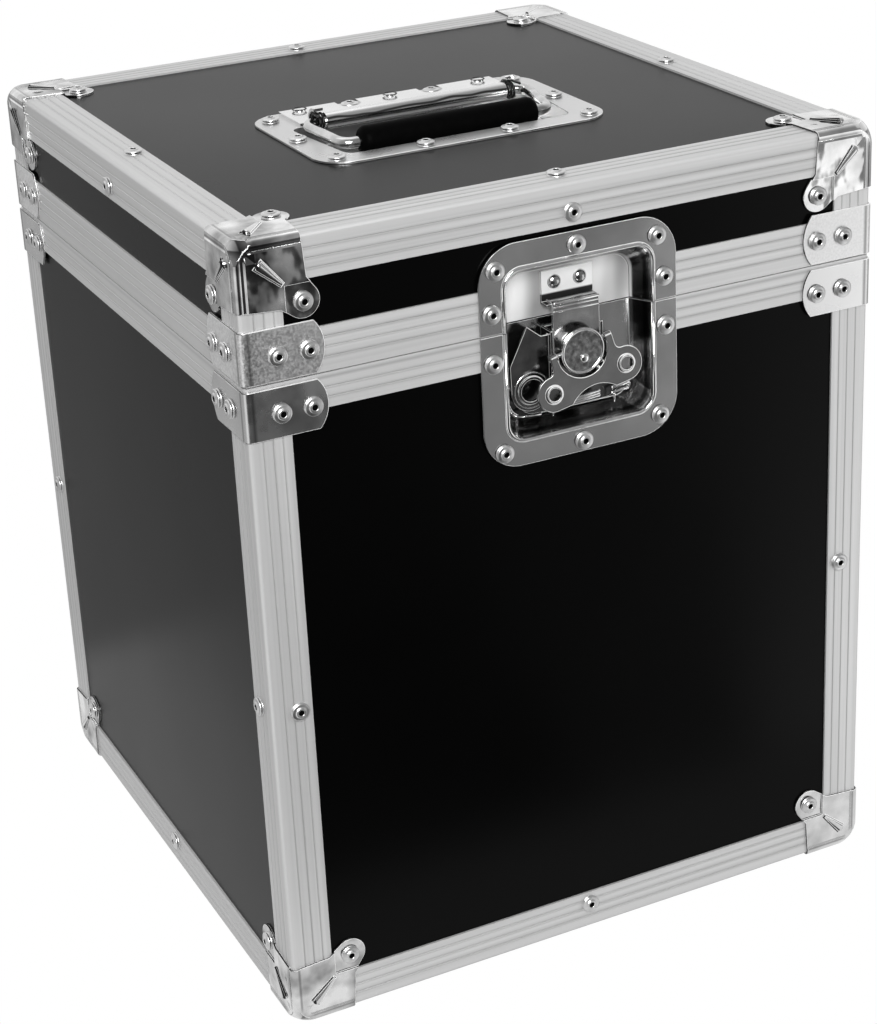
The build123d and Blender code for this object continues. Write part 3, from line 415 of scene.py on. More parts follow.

# %% [markdown]
# ## Plated steel
#
# The pressed steel carries several platings: satin nickel on the handle's
# dish, bright chrome on small parts and darker chrome on the latch, whose bed
# is made near black as painted shade. Plating is never even. A cloud varies
# its colour and gloss together, and a slow ripple bends what it mirrors, as
# pressed sheet does.


# %% Plain platings
def plated(name, slot, dark, bright, rough, cloud_size, spread=0.10, ripple=(60.0, 0.2)):
    """Plating between two greys, with clouds of a size in millimetres."""
    shade = Shade(name, slot, Metallic=1.0)
    cloud = shade.noise(1.0 / MM / cloud_size, 3.0).spread(2.2)
    shade.set("Base Color", shade.mix(cloud, grey(dark), grey(bright)))
    shade.set("Roughness", rough + cloud * spread)
    if ripple:
        ripple_scale, ripple_depth = ripple
        shade.bump(shade.noise(ripple_scale, 2.0), ripple_depth, 0.3)
    return shade


dish_steel = plated("dish_nickel", "plated_steel", 0.58, 0.66, 0.24, 30.0)
bail_chrome = plated("bail_chrome", "plated_steel", 0.45, 0.70, 0.10, 8.0, 0.08, (200.0, 0.4))
# Painted shade: the latch's bed, behind the hook and wing, is made near black.
shaded_bed_chrome = plated("shaded_bed_chrome", "plated_steel", 0.06, 0.20, 0.14, 14.0, 0.10, (90.0, 0.3))
hook_chrome = plated("hook_chrome", "plated_steel", 0.34, 0.60, 0.12, 12.0, 0.08, (120.0, 0.4))
wing_steel = plated("wing_steel", "plated_steel", 0.38, 0.46, 0.10, 10.0, 0.06)
hinge_steel = plated("hinge_steel", "plated_steel", 0.50, 0.66, 0.26, 12.0)
spindle_chrome = plated("spindle_chrome", "spindle_chrome", 0.14, 0.62, 0.10, 2.6, 0.12, (260.0, 0.5))
bright_chrome = plated("bright_chrome", "plated_steel", 0.80, 0.90, 0.10, 5.0, 0.05, None)
rivet_metal = plated("rivet_plate", "rivet_steel", 0.56, 0.76, 0.30, 3.0, 0.10, None)
print("platings on", bail_chrome.slot, spindle_chrome.slot, "and", rivet_metal.slot)

# %% [markdown]
# ## Ribs and the handle's barrel
#
# A pressed rib is pale, and its faces that lean to the left are painted dark
# as painted shade. The rolled barrel is pale on top, with a wavy dark band of
# painted reflection where the sheet turns under. Both follow from which way
# the surface faces, so the masks read its direction.


# %% Ribs and barrel
def left_leaning_shade(shade):
    """Painted shade, 1 on small faces that lean to the case's left but don't face it."""
    leftward = 0.0 - shade.facing("x")
    return leftward.above(0.30, 0.16) * (1.0 - leftward.above(0.93, 0.06))


def rib_finish():
    shade = Shade("rib_chrome", "plated_steel", Metallic=1.0)
    cloud = shade.noise(300.0, 2.0)
    bright_flank = shade.mix(cloud, grey(0.60), grey(0.86))
    # Painted shade on the rib's faces that lean left.
    shade.set("Base Color", shade.mix(left_leaning_shade(shade), bright_flank, grey(0.03)))
    shade.set("Roughness", 0.12 + cloud * 0.08)
    return shade


def barrel_finish():
    shade = Shade("barrel_chrome", "plated_steel", Metallic=1.0)
    cloud = shade.noise(30.0, 2.0)
    wave = shade.noise(1.0, 1.0, shade.stretched((46.0, 10.0, 10.0)))
    tilt = shade.facing("z") + (wave - 0.5) * 0.8
    # Painted reflection: a wavy dark band where the barrel turns under.
    painted_dark_band = 1.0 - tilt.distance_from(0.40).above(0.13, 0.10)
    pale = shade.mix(cloud, grey(0.66), grey(0.90))
    shade.set("Base Color", shade.mix(painted_dark_band * 0.9, pale, grey(0.03)))
    shade.set("Roughness", 0.14 + cloud * 0.08)
    return shade


rib_chrome = rib_finish()
barrel_chrome = barrel_finish()
print("rib and barrel finishes read the surface's direction")

# %% [markdown]
# ## Corner plates
#
# A corner is drawn from one sheet. A rim runs along its folds, a valley lies
# inside the rim and the leaves ripple. The valley is darkened as painted
# shade. The left pair is painted darker and cloudier than the right pair, as
# painted reflection. A thin line of painted shadow runs round the plates.
# Each of these depends on how far a point lies from the folds, so that
# distance is worked out first.


# %% Distances on a folded plate
plate_t = 1.2


def from_outer_faces(shade):
    """Millimetres inwards from a plate's side, its front or back, and its top or bottom."""
    outer = half_case + plate_t
    across = outer - shade.x.distance_from(0.0)
    deep = outer - shade.y.distance_from(0.0)
    up = (z_top + plate_t - shade.z).smaller(shade.z - z_foot + plate_t)
    return across, deep, up


def from_fold(shade):
    """Distance from the nearest fold of a corner, on whichever leaf a point lies."""
    across, deep, up = from_outer_faces(shade)
    return across.smaller(deep).larger(across.larger(deep).smaller(up))


def off_the_vertex(shade):
    """0 on the ball of a corner, where three folds meet, and 1 on its leaves."""
    across, deep, up = from_outer_faces(shade)
    return across.larger(deep).larger(up).above(9.0, 4.0)


def edge_shadow(shade, upward):
    """Painted shadow, 1 on the sheared edges of a folded plate that face left, and upward where asked."""
    to_left = (0.0 - shade.facing("x")).above(0.4, 0.3)
    off_the_side = (shade.x + half_case).above(3.0, 0.6)
    shadowed = to_left * off_the_side
    if upward:
        below_top = 1.0 - shade.z.above(z_top - 3.0, 0.6)
        shadowed = shadowed.larger(shade.facing("z").above(0.4, 0.3) * below_top)
    return shadowed


# Painted reflection: corners and clamps on the right are paler than on the left.
def on_the_right(shade):
    return shade.x.above(0.0, 20.0)


# Near black of the painted shadow line round the plates.
edge_shadow_grey = grey(0.015)
print("corner plates stand", plate_t, "mm out from the angles")


# %% Corner plates
rim_to, valley_at, leaf_from = 3.1, 4.2, 5.6


def corner_finish():
    """Chrome with a drawn rim along the folds, a valley inside it with painted shade, and rippled leaves.
    """
    shade = Shade("corner_chrome", "plated_steel", Metallic=1.0)
    fold = from_fold(shade)
    leaves = off_the_vertex(shade)
    cloud = shade.noise(46.0, 3.0).spread(3.2)
    valley = 1.0 - fold.distance_from(valley_at).above(0.6, 0.8)
    # Painted reflection: the left pair of corners is darker than the right.
    cloudy_grey = shade.mix(on_the_right(shade), grey(0.20), grey(0.56))
    pale = shade.mix(cloud, cloudy_grey, grey(0.92))
    # Painted shade in the valley inside the rim.
    pale = shade.mix(valley * leaves * 0.55, pale, grey(0.06))
    # Painted shadow on the corner's edges that face left and up.
    shade.set("Base Color", shade.mix(edge_shadow(shade, True), pale, edge_shadow_grey))
    shade.set("Roughness", 0.08 + cloud * 0.10)
    rim = 1.0 - fold.above(rim_to, 1.0)
    leaf = fold.above(leaf_from, 1.2)
    ripple = shade.noise(64.0, 1.5) * 4.2 * leaf
    shade.bump((rim * 0.5 + leaf * 0.35 + ripple) * leaves, 1.0, 0.6)
    return shade


corner_chrome = corner_finish()
print("corner finish has", len(corner_chrome.nodes), "nodes")

# %% [markdown]
# ## Clamps
#
# Eight folded strips tie the angles together at the joint. The lid's are
# zinc with a fine spangle, and the base's are smoother and darker. Both carry
# a band of painted shade next to the fold, and grow paler away from it and on
# the right, as painted reflection.


# %% Clamps
# Distance from the fold to the band of painted shade.
fold_shade_at = 4.3


def clamp_finish(name, dark, bright, rough, grain):
    """Zinc on a folded strip, with a band of painted shade next to its fold."""
    shade = Shade(name, "plated_steel", Metallic=1.0)
    across, deep, _ = from_outer_faces(shade)
    fold = across.larger(deep)
    # Painted shade: a dark band along the fold.
    beside = 1.0 - fold.distance_from(fold_shade_at).above(0.8, 1.4)
    cloud = shade.noise(grain, 3.0).spread(3.0)
    # Painted reflection: paler away from the fold and on the right.
    away = on_the_right(shade).larger(fold.above(3.0, 24.0) * 0.8)
    dark_end = shade.mix(away, grey(dark), grey(bright * 0.86))
    bright_end = shade.mix(away, grey(bright * 0.8), grey(bright))
    pale = shade.mix(cloud, dark_end, bright_end)
    pale = shade.mix(beside * 0.6, pale, grey(0.03))
    # Painted shadow on the clamp's edges that face left.
    shade.set("Base Color", shade.mix(edge_shadow(shade, False), pale, edge_shadow_grey))
    shade.set("Roughness", rough + cloud * 0.12)
    return shade


lid_clamp_zinc = clamp_finish("lid_clamp_zinc", 0.40, 1.0, 0.34, 900.0)
base_clamp_zinc = clamp_finish("base_clamp_zinc", 0.56, 0.80, 0.18, 60.0)
print("clamp finishes:", lid_clamp_zinc.material.name, "and", base_clamp_zinc.material.name)

# %% [markdown]
# ## Keeper
#
# The latch hooks over this small plate. It is pale zinc where it shows, and
# painted shadow makes it near black where it passes behind the hook.


# %% Keeper
hook_end = z_joint + 11.6


def keeper_finish():
    shade = Shade("keeper_zinc", "plated_steel", Metallic=0.6)
    cloud = shade.noise(110.0, 2.0)
    shown = shade.z.above(hook_end, 0.8)
    pale = shade.mix(cloud, grey(0.84), grey(0.95))
    # Painted shadow: near black below the hook's top.
    shade.set("Base Color", shade.mix(shown, grey(0.02), pale))
    shade.set("Roughness", 0.36 + cloud * 0.1)
    return shade


keeper_zinc = keeper_finish()
print("keeper finish has", len(keeper_zinc.nodes), "nodes")

# %% [markdown]
# ## Rivet bores, wire, rubber and foam
#
# Four dark finishes that must not look alike. The bore of a rivet is painted
# near black with no gloss at all, as painted shade. Spring wire is oiled
# steel. The grip is soft rubber with a fine skin. Foam is matt, and its cells
# show as relief.

# %% Rivet bores and wire
# Painted shade: the rivet's bore is near black and has no gloss.
bore = Shade("rivet_bore", "rivet_steel", Roughness=0.9, Specular_IOR_Level=0.0)
bore.set("Base Color", bore.mix(bore.noise(800.0), grey(0.001), grey(0.003)))

dark_wire = Shade("dark_wire", "spring_steel", Metallic=1.0)
wire_cloud = dark_wire.noise(400.0, 2.0)
dark_wire.set("Base Color", dark_wire.mix(wire_cloud, grey(0.010), grey(0.05)))
dark_wire.set("Roughness", 0.35 + wire_cloud * 0.2)
print("dark metal finishes:", bore.material.name, "and", dark_wire.material.name)

# %% Rubber and foam
rubber = Shade("grip_rubber", "grip_rubber", Specular_IOR_Level=0.012)
rubber_cloud = rubber.noise(350.0, 2.0)
rubber.set("Base Color", rubber.mix(rubber_cloud, grey(0.0008), grey(0.0018)))
rubber.set("Roughness", 0.40 + rubber_cloud * 0.12)
rubber.bump(rubber.noise(1500.0, 2.0), 0.05, 0.3)

foam = Shade("foam", "foam", Roughness=0.95, Specular_IOR_Level=0.1)
foam_cells = foam.noise(900.0, 3.0)
foam.set("Base Color", foam.mix(foam_cells, grey(0.018), grey(0.06)))
foam.bump(foam_cells, 0.6, 0.8)
print("soft finishes:", rubber.material.name, "and", foam.material.name)

# %% [markdown]
# ## Dressing the frame's pieces
#
# Most pieces take one finish all over, so one table says which. It is easier
# to check against the photo than many calls.

# %% Dress the frame's pieces
finishes = {
    dish_steel: ["handle_dish", "wing_pin"],
    barrel_chrome: ["handle_barrel_plate"],
    bail_chrome: ["handle_bail"],
    corner_chrome: ["base_corners", "lid_corners"],
    lid_clamp_zinc: ["lid_clamps"],
    base_clamp_zinc: ["base_clamps"],
    shaded_bed_chrome: ["latch_plate"],
    hook_chrome: ["latch_hook"],
    wing_steel: ["latch_wing"],
    keeper_zinc: ["latch_keeper"],
    hinge_steel: ["hinge_base_leaves", "hinge_lid_leaves", "hinge_pins"],
    spindle_chrome: ["latch_spindle"],
    rivet_metal: ["base_rivets", "lid_rivets"],
    dark_wire: ["handle_springs"],
    rubber: ["handle_grip"],
}
for finish, names in finishes.items():
    finish.dress(*(nodes[name] for name in names))
    print(finish.material.name, "on", ", ".join(names))

# %% [markdown]
# ## The two halves of the latch dish
#
# The flange is satin. Inside the recess the lid's half is bright zinc with
# soft upright streaks, while the base's half is polished and painted darker
# towards its foot, as painted dark reflection. The drawn walls are darkened as
# painted shade, and most of all just under the rolled lip, where painted
# shadow lies. Two materials could share one piece, but how deep a point lies
# below the flange tells these places apart by itself.


# %% The latch dish
flange_back, lip_back, seat_back = 0.8, 2.9, 9.4
# Below this height the base's half is painted darker, as painted dark reflection.
painted_dark_top = z_joint - 40.0


def dish_finish(name, dark, bright, rough, matt, low_painted_dark):
    """Satin flange round a recess that runs between two greys on its seat, with painted shade on its walls
    and under its lip.
    """
    shade = Shade(name, "plated_steel")
    deep = shade.y - face
    inside = deep.above(flange_back, 0.5)
    seat = deep.above(seat_back, 1.2)
    lip_shadow = 1.0 - deep.distance_from(lip_back).above(1.0, 0.9)
    cloud = shade.noise(32.0, 3.0).spread(2.2)
    streak = shade.noise(1.0, 2.0, shade.stretched((38.0, 30.0, 7.0))).spread(3.6)
    flange = shade.mix(cloud, grey(0.50), grey(0.62))
    recess = shade.mix(streak, grey(dark), grey(bright))
    # Painted dark reflection towards the foot.
    low = 1.0 - shade.z.above(painted_dark_top, 6.0)
    recess = shade.mix(low * low_painted_dark, recess, grey(0.02))
    # Painted shade: the drawn walls are held at a dark grey, and only the seat shows the streaks.
    recess = shade.mix(seat, grey(0.16), recess)
    # Painted shadow just under the rolled lip.
    recess = shade.mix(lip_shadow * 0.85, recess, grey(0.012))
    shade.set("Base Color", shade.mix(inside, flange, recess))
    shade.set("Roughness", (0.13 + cloud * 0.06) * (1.0 - seat) + (rough + cloud * 0.10) * seat)
    shade.set("Metallic", 1.0 - seat * matt)
    shade.bump(shade.noise(60.0, 2.0), 0.2, 0.3)
    return shade


dish_finish("lid_dish_finish", 0.30, 0.78, 0.34, 0.70, 0.0).dress(nodes["latch_lid_dish"])
dish_finish("base_dish_finish", 0.42, 0.60, 0.12, 0.0, 0.9).dress(nodes["latch_base_dish"])
print("latch dish dressed in two halves")

# %% [markdown]
# ## Selecting and settling
#
# An operator acts on all that is selected, so each step starts by deselecting
# everything and picking one piece. A finished piece has its place written
# into its mesh, because object coordinates are then the same for all pieces.


# %% Selecting and settling
def pick(*pieces):
    if bpy.context.mode != "OBJECT":
        bpy.ops.object.mode_set(mode="OBJECT")
    bpy.ops.object.select_all(action="DESELECT")
    for piece in pieces:
        piece.select_set(True)
    bpy.context.view_layer.objects.active = pieces[0]


def added(name):
    """Names the piece that an operator just added."""
    piece = bpy.context.object
    piece.name = name
    piece.data.name = name
    return piece


def settle(piece):
    """Writes the object's place into its mesh."""
    pick(piece)
    bpy.ops.object.transform_apply(location=True, rotation=True, scale=True)
    return piece


def tell(piece):
    print(piece.name, "has", len(piece.data.polygons), "faces")


# %% [markdown]
# ## Turned shapes
#
# Rivets and studs are turned, so each is a circle that is extruded upwards
# and scaled at every step, like drawing a profile and turning it on a lathe.
# Spin would do the same, but a circle that grows keeps its pole closed.


# %% Turned shapes
def smooth(piece, angle):
    """Smooth shading, with edges over an angle in degrees left sharp."""
    pick(piece)
    bpy.ops.object.shade_smooth_by_angle(angle=radians(angle))
    return piece


def edit_all(piece):
    """Opens a piece in edit mode with all of it selected."""
    pick(piece)
    bpy.ops.object.mode_set(mode="EDIT")
    bpy.ops.mesh.select_all(action="SELECT")


def end_edit():
    bpy.ops.object.mode_set(mode="OBJECT")


def raise_profile(name, profile, sides):
    """Turned shape from (radius, height) pairs in millimetres, closed at both ends."""
    radius, height = profile[0]
    bpy.ops.mesh.primitive_circle_add(
        vertices=sides, radius=radius * MM, location=(0, 0, height * MM), fill_type="NGON"
    )
    piece = settle(added(name))
    edit_all(piece)
    for next_radius, next_height in profile[1:]:
        rise = (next_height - height) * MM
        bpy.ops.mesh.extrude_region_move(TRANSFORM_OT_translate={"value": (0, 0, rise)})
        scale = next_radius / radius
        bpy.ops.transform.resize(value=(scale, scale, 1.0), center_override=(0, 0, next_height * MM))
        radius, height = next_radius, next_height
    bpy.ops.mesh.select_all(action="SELECT")
    bpy.ops.mesh.normals_make_consistent(inside=False)
    end_edit()
    return piece


# %% [markdown]
# ## Pop rivets
#
# Every trim is held with steel blind rivets. Each has a low flange, the
# rolled end of the sleeve in the middle, and the hole that the mandrel left
# when it snapped. The frame has only plain heads. One rivet is modelled well
# and copied to every head's place, turned a little each time so that no two
# mirror the light alike.

# %% One rivet
rivet_r = 4.8
rivet_h = 1.35
sleeve_r = 2.5
hole_r = 1.5


def rivet_profile():
    """Flange as a low arc, then the rolled sleeve that stands on it, and its bore."""
    flange = [(rivet_r, 0.0), (4.75, 0.28), (4.45, 0.5), (3.9, 0.62), (3.15, 0.68)]
    sleeve = [(sleeve_r + 0.4, 0.78), (sleeve_r + 0.22, rivet_h - 0.25), (sleeve_r - 0.1, rivet_h - 0.03)]
    sleeve += [(hole_r + 0.45, rivet_h + 0.02), (hole_r + 0.12, rivet_h - 0.08)]
    hole = [(hole_r, rivet_h - 0.25), (hole_r - 0.1, 0.25), (0.3, 0.3)]
    return flange + sleeve + hole


pattern = smooth(raise_profile("rivet", rivet_profile(), sides=32), 50.0)
pattern.data.materials.append(rivet_metal.material)
pattern.data.materials.append(bore.material)
# Faces inside the bore take the bore's painted shade.
for polygon in pattern.data.polygons:
    from_axis = Vector(polygon.center[:2]).length
    in_bore = from_axis < (hole_r + 0.03) * MM and polygon.center.z > 0.2 * MM
    polygon.material_index = 1 if in_bore else 0
tell(pattern)


# %% Copies, and where the frame's rivets are
def linked_copy(piece):
    """Copy with a mesh of its own."""
    copy = piece.copy()
    copy.data = piece.data.copy()
    scene.collection.objects.link(copy)
    return copy


def frame_copy(name, new_name):
    """Free copy of a frame node, which a new piece can start from."""
    piece = linked_copy(nodes[name])
    piece.name = piece.data.name = new_name
    piece.parent = None
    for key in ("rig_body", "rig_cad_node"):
        if key in piece:
            del piece[key]
    return piece


def solids_of(name):
    """(centre, size) in metres of each separate solid of a frame node."""
    pick(frame_copy(name, "loose_parts"))
    bpy.ops.mesh.separate(type="LOOSE")
    found = []
    for part in list(bpy.context.selected_objects):
        corners = [part.matrix_world @ Vector(corner) for corner in part.bound_box]
        low = Vector([min(corner[i] for corner in corners) for i in range(3)])
        high = Vector([max(corner[i] for corner in corners) for i in range(3)])
        found.append(((low + high) / 2, high - low))
        bpy.data.objects.remove(part)
    return found


# %% Rivets in place
def stand_on(copy, centre, size, turn_by):
    """Sets a turned piece on the sheet under a flat head, pointing away from the base's middle."""
    thin = min(range(3), key=lambda axis: size[axis])
    middle = (0.0, 0.0, (z_foot + z_joint) / 2 * MM)
    outward = 1.0 if centre[thin] > middle[thin] else -1.0
    normal = Vector([outward if axis == thin else 0.0 for axis in range(3)])
    foot = centre - normal * size[thin] / 2
    turn = normal.to_track_quat("Z", "Y").to_matrix().to_4x4()
    copy.matrix_world = Matrix.Translation(foot) @ turn @ Matrix.Rotation(turn_by, 4, "Z")


def joined(name, pieces):
    pick(*pieces)
    if len(pieces) > 1:
        bpy.ops.object.join()
    return added(name)


turn_step = radians(37.0)
for body in ("base", "lid"):
    copies = []
    for index, (centre, size) in enumerate(solids_of(f"{body}_rivets")):
        rivet = linked_copy(pattern)
        stand_on(rivet, centre, size, turn_step * index)
        copies.append(rivet)
    heads = settle(joined(f"{body}_rivet_heads", copies))
    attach(heads, body)
    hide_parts(f"{body}_rivets")
    print(len(copies), "rivets on the", body)
bpy.data.objects.remove(pattern)

# %% [markdown]
# ## Eased edges on the pressed steel
#
# A pressed edge is slightly round, so it catches a thin bright line. The
# frame's solids have sharp edges. A merged copy gets a very small bevel on
# every edge that turns by more than the facets of a curve do. The bevel's own
# faces take a paler, partly metallic finish as painted highlight, with painted
# shade on faces that lean left, and weighted normals keep the flat faces
# flat beside it.

# %% A merged copy and its painted edge
merge_under = 0.01
flat_within = 1.0


def merged_copy(name, new_name):
    """The frame node's shape as one clean mesh of its own."""
    piece = frame_copy(name, new_name)
    edit_all(piece)
    bpy.ops.mesh.remove_doubles(threshold=merge_under * MM)
    bpy.ops.mesh.dissolve_limited(angle_limit=radians(flat_within))
    end_edit()
    return piece


painted_edge = Shade("painted_edge", "plated_steel", Metallic=0.45)
edge_cloud = painted_edge.noise(200.0, 2.0)
# Painted highlight: pale, partly metallic colour on the bevel's faces.
edge_pale = painted_edge.mix(edge_cloud, grey(0.66), grey(0.84))
# Painted shade on bevel faces that lean left.
painted_edge.set("Base Color", painted_edge.mix(left_leaning_shade(painted_edge), edge_pale, grey(0.03)))
painted_edge.set("Roughness", 0.28 + edge_cloud * 0.1)
print("worn edge finish has", len(painted_edge.nodes), "nodes")

# %% Eased edges
def modify(piece, kind, **settings):
    """Adds a modifier and applies it."""
    pick(piece)
    modifier = piece.modifiers.new(kind.lower(), kind)
    for key, value in settings.items():
        setattr(modifier, key, value)
    bpy.ops.object.modifier_apply(modifier=modifier.name)


eased_edges = {
    "base_corners": ("base", 0.30),
    "lid_corners": ("lid", 0.30),
    "base_clamps": ("base", 0.42),
    "lid_clamps": ("lid", 0.42),
    "latch_base_dish": ("base", 0.28),
    "latch_lid_dish": ("lid", 0.28),
    "latch_plate": ("base", 0.28),
    "latch_keeper": ("lid", 0.22),
    "latch_hook": ("hook", 0.30),
    "latch_wing": ("wing", 0.38),
    "handle_dish": ("lid", 0.30),
}
eased_over, sharp_over = 38.0, 24.0
for name, (body, width) in eased_edges.items():
    piece = merged_copy(name, name + "_eased")
    piece.data.materials.append(painted_edge.material)
    modify(
        piece,
        "BEVEL",
        width=width * MM,
        segments=2,
        limit_method="ANGLE",
        angle_limit=radians(eased_over),
        use_clamp_overlap=False,
        material=1,
    )
    smooth(piece, sharp_over)
    modify(piece, "WEIGHTED_NORMAL", keep_sharp=True)
    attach(piece, body)
    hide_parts(name)
    tell(piece)

# %% [markdown]
# ## Rolled edge of the latch dish
#
# The mouth of the dish is rolled into a bead, which stiffens the sheet and
# hides its raw edge. It could be swept in the CAD, but it is thin trim. Here
# a plane is given round corners, its outline becomes a round bar, and the bar
# is cut at the joint like the dish.

# %% Outline, bar and cut
latch_x = 2.4
mouth_half = 40.9
mouth_up, mouth_down = 30.6, 56.9
bead_r = 1.1
bead_out = 0.9
bead_corner = 9.9
bead_proud = 1.0
bead_gap = 0.3


def mouth_outline(name):
    """Rounded rectangle round the dish's mouth, as a wire loop."""
    centre = (latch_x, face - bead_proud, z_joint + (mouth_up - mouth_down) / 2)
    bpy.ops.mesh.primitive_plane_add(
        size=1.0, location=Vector(centre) * MM, rotation=(radians(90.0), 0, 0)
    )
    piece = added(name)
    width, height = 2 * (mouth_half + bead_out), mouth_up + mouth_down + 2 * bead_out
    piece.scale = (width * MM, height * MM, 1.0)
    edit_all(settle(piece))
    bpy.ops.mesh.bevel(offset=bead_corner * MM, segments=10, affect="VERTICES")
    bpy.ops.mesh.delete(type="ONLY_FACE")
    end_edit()
    return piece


def bar_along(outline, radius):
    """Turns a wire outline into a round bar."""
    pick(outline)
    bpy.ops.object.convert(target="CURVE")
    curve = bpy.context.object.data
    curve.bevel_depth = radius * MM
    curve.bevel_resolution = 3
    bpy.ops.object.convert(target="MESH")
    return smooth(bpy.context.object, 60.0)


def cut_level(piece, height, keep_above):
    """Cuts a closed piece at a height and closes the cut."""
    edit_all(piece)
    bpy.ops.mesh.bisect(
        plane_co=(0, 0, height * MM),
        plane_no=(0, 0, 1),
        use_fill=True,
        clear_inner=keep_above,
        clear_outer=not keep_above,
    )
    end_edit()


# %% The bead in two halves
def mount(piece, finish, body):
    """Gives a finished form its plating and lets it ride on a body."""
    finish.dress(piece)
    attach(piece, body)
    tell(piece)


for body, side in (("lid", 1.0), ("base", -1.0)):
    bead = bar_along(mouth_outline(f"latch_{body}_bead"), bead_r)
    cut_level(bead, z_joint + side * bead_gap, keep_above=side > 0)
    mount(bead, bright_chrome, body)

# %% [markdown]
# ## Spindle and keeper rivets
#
# The spindle's face has a turned rim and a peened stud, whose low dome
# mirrors one small spot of light. Two domed rivets hold the keeper. All are
# turned shapes that are tipped forward to stand out of the front.


# %% Spindle face and keeper rivets
def turned_front(name, profile, place, sides):
    """A turned form that stands out of the front."""
    piece = smooth(raise_profile(name, profile, sides), 50.0)
    piece.rotation_euler = (radians(90.0), 0, 0)
    piece.location = Vector(place) * MM
    return settle(piece)


spindle_x = 1.5
spindle_z = z_joint - 16.2
drum_front = face - 5.0
stud_profile = [(2.5, -0.3), (2.45, 0.6), (2.1, 1.1), (1.5, 1.4), (0.9, 1.55), (0.3, 1.6)]
rim_profile = [(11.95, -1.3), (11.95, 0.0), (11.6, 0.35), (10.9, 0.35), (10.6, 0.02), (10.3, -0.2)]
dome_profile = [(3.6, -0.4), (3.6, 0.3), (3.1, 1.1), (2.2, 1.7), (1.2, 2.0), (0.4, 2.05)]

stud = turned_front("spindle_stud", stud_profile, (spindle_x + 0.5, drum_front, spindle_z - 3.6), 32)
rim = turned_front("spindle_rim", rim_profile, (spindle_x, drum_front, spindle_z), 72)
mount(stud, bright_chrome, "spindle")
mount(rim, bright_chrome, "spindle")

dome_half, dome_deep, dome_up = 7.15, 9.9, 17.2
domes = [
    turned_front("keeper_dome", dome_profile, (spindle_x + side, face + dome_deep, z_joint + dome_up), 24)
    for side in (-dome_half, dome_half)
]
mount(joined("keeper_rivets", domes), hook_chrome, "lid")

# %% [markdown]
# ## Rolled lip of the latch bed
#
# Below the wing the bed's lower edge is rolled over in a stack of narrow
# folds, with two short feet that were bent down when it was pressed. To the
# left the edge swings up round the padlock lug, whose eye has two pressed
# rings. Each fold shows only as a thin bright line, so each is a slim rod
# with rounded ends, half sunk in the bed.


# %% Slim rods
def rod(name, start, end, deep, radius):
    """Round rod between two (x, z) places on the front, measured from the spindle and the joint."""
    start, end = (Vector((spindle_x + x, face + deep, z_joint + z)) * MM for x, z in (start, end))
    along = end - start
    bpy.ops.mesh.primitive_cylinder_add(
        vertices=12,
        radius=radius * MM,
        depth=along.length,
        location=(start + end) / 2,
        rotation=along.to_track_quat("Z", "Y").to_euler(),
    )
    piece = settle(added(name))
    rounding = radius * 0.45 * MM
    modify(piece, "BEVEL", width=rounding, segments=2, limit_method="ANGLE", angle_limit=radians(60.0))
    return smooth(piece, 45.0)


# %% The bed's folds and feet
lip_deep = 5.4
foot_deep = 5.0
fold_pitch = 1.35
lip_parts = []
for row in range(3):
    drop = fold_pitch * row
    lip_parts.append(rod("lip_fold", (-6.0 - row, -45.0 - drop), (14.8, -43.6 - drop), lip_deep, 0.72))

right_loop = [((21.2, -46.4), (31.4, -45.4), 0.8), ((21.2, -43.4), (32.0, -42.6), 1.0)]
right_loop += [((32.0, -42.6), (31.4, -45.4), 0.8)]
for start, end, radius in right_loop:
    lip_parts.append(rod("lip_right", start, end, lip_deep, radius))

for along in (-12.5, 22.9):
    lip_parts.append(rod("foot", (along, -46.8), (along, -51.6), foot_deep, 0.55))

left_sweep = [(-37.0, -42.0), (-36.2, -44.6), (-33.6, -47.2), (-29.0, -48.4), (-19.0, -49.0)]
for start, end in zip(left_sweep, left_sweep[1:]):
    lip_parts.append(rod("lip_left", start, end, lip_deep, 0.8))
print(len(lip_parts), "rods in the bed's lip")

# %% [markdown]
# A torus is the quickest round bead. Pressed from sheet, a bead is flatter
# than it is wide, so each is squashed towards its plate in edit mode.


# %% Squashed rings
def ring(name, place, rotation, radius, bead, sides, flatness):
    """Bead with (round, across) sides, squashed by a factor for each axis."""
    bpy.ops.mesh.primitive_torus_add(
        location=Vector(place) * MM,
        rotation=rotation,
        major_radius=radius * MM,
        minor_radius=bead * MM,
        major_segments=sides[0],
        minor_segments=sides[1],
    )
    piece = added(name)
    edit_all(piece)
    bpy.ops.transform.resize(value=flatness)
    end_edit()
    return smooth(settle(piece), 60.0)


eye_at = (spindle_x - 25.0, face + 3.5, z_joint - 34.4)
upright = (radians(90.0), 0, 0)
for radius in (6.6, 9.4):
    lip_parts.append(ring("eye_ring", eye_at, upright, radius, 0.45, (48, 8), (1.0, 0.8, 1.0)))
mount(joined("latch_bed_lip", lip_parts), bright_chrome, "base")

# %% [markdown]
# ## Folds of the hook
#
# The hook's top is folded over to stiffen it, which shows as three fine steps
# across its front. They move with the hook.

# %% The hook's folds
hook_half = 12.7
hook_lines = [
    rod("hook_line", (-hook_half, up), (hook_half, up), deep, radius)
    for up, deep, radius in ((8.9, 0.9, 0.8), (6.9, 0.85, 0.45), (4.6, 1.0, 0.55))
]
mount(joined("latch_hook_folds", hook_lines), bright_chrome, "hook")

# %% [markdown]
# ## Stiffening ribs of the corners
#
# Each leaf of a corner has a rib like a drop, wide near the corner and narrow
# towards its tab. The frame has its plain wedge. A cone with a ball at each
# end, flattened and half sunk in the sheet, gives the drop its pressed shape.
# One is modelled and copied to all three leaves of the eight corners.

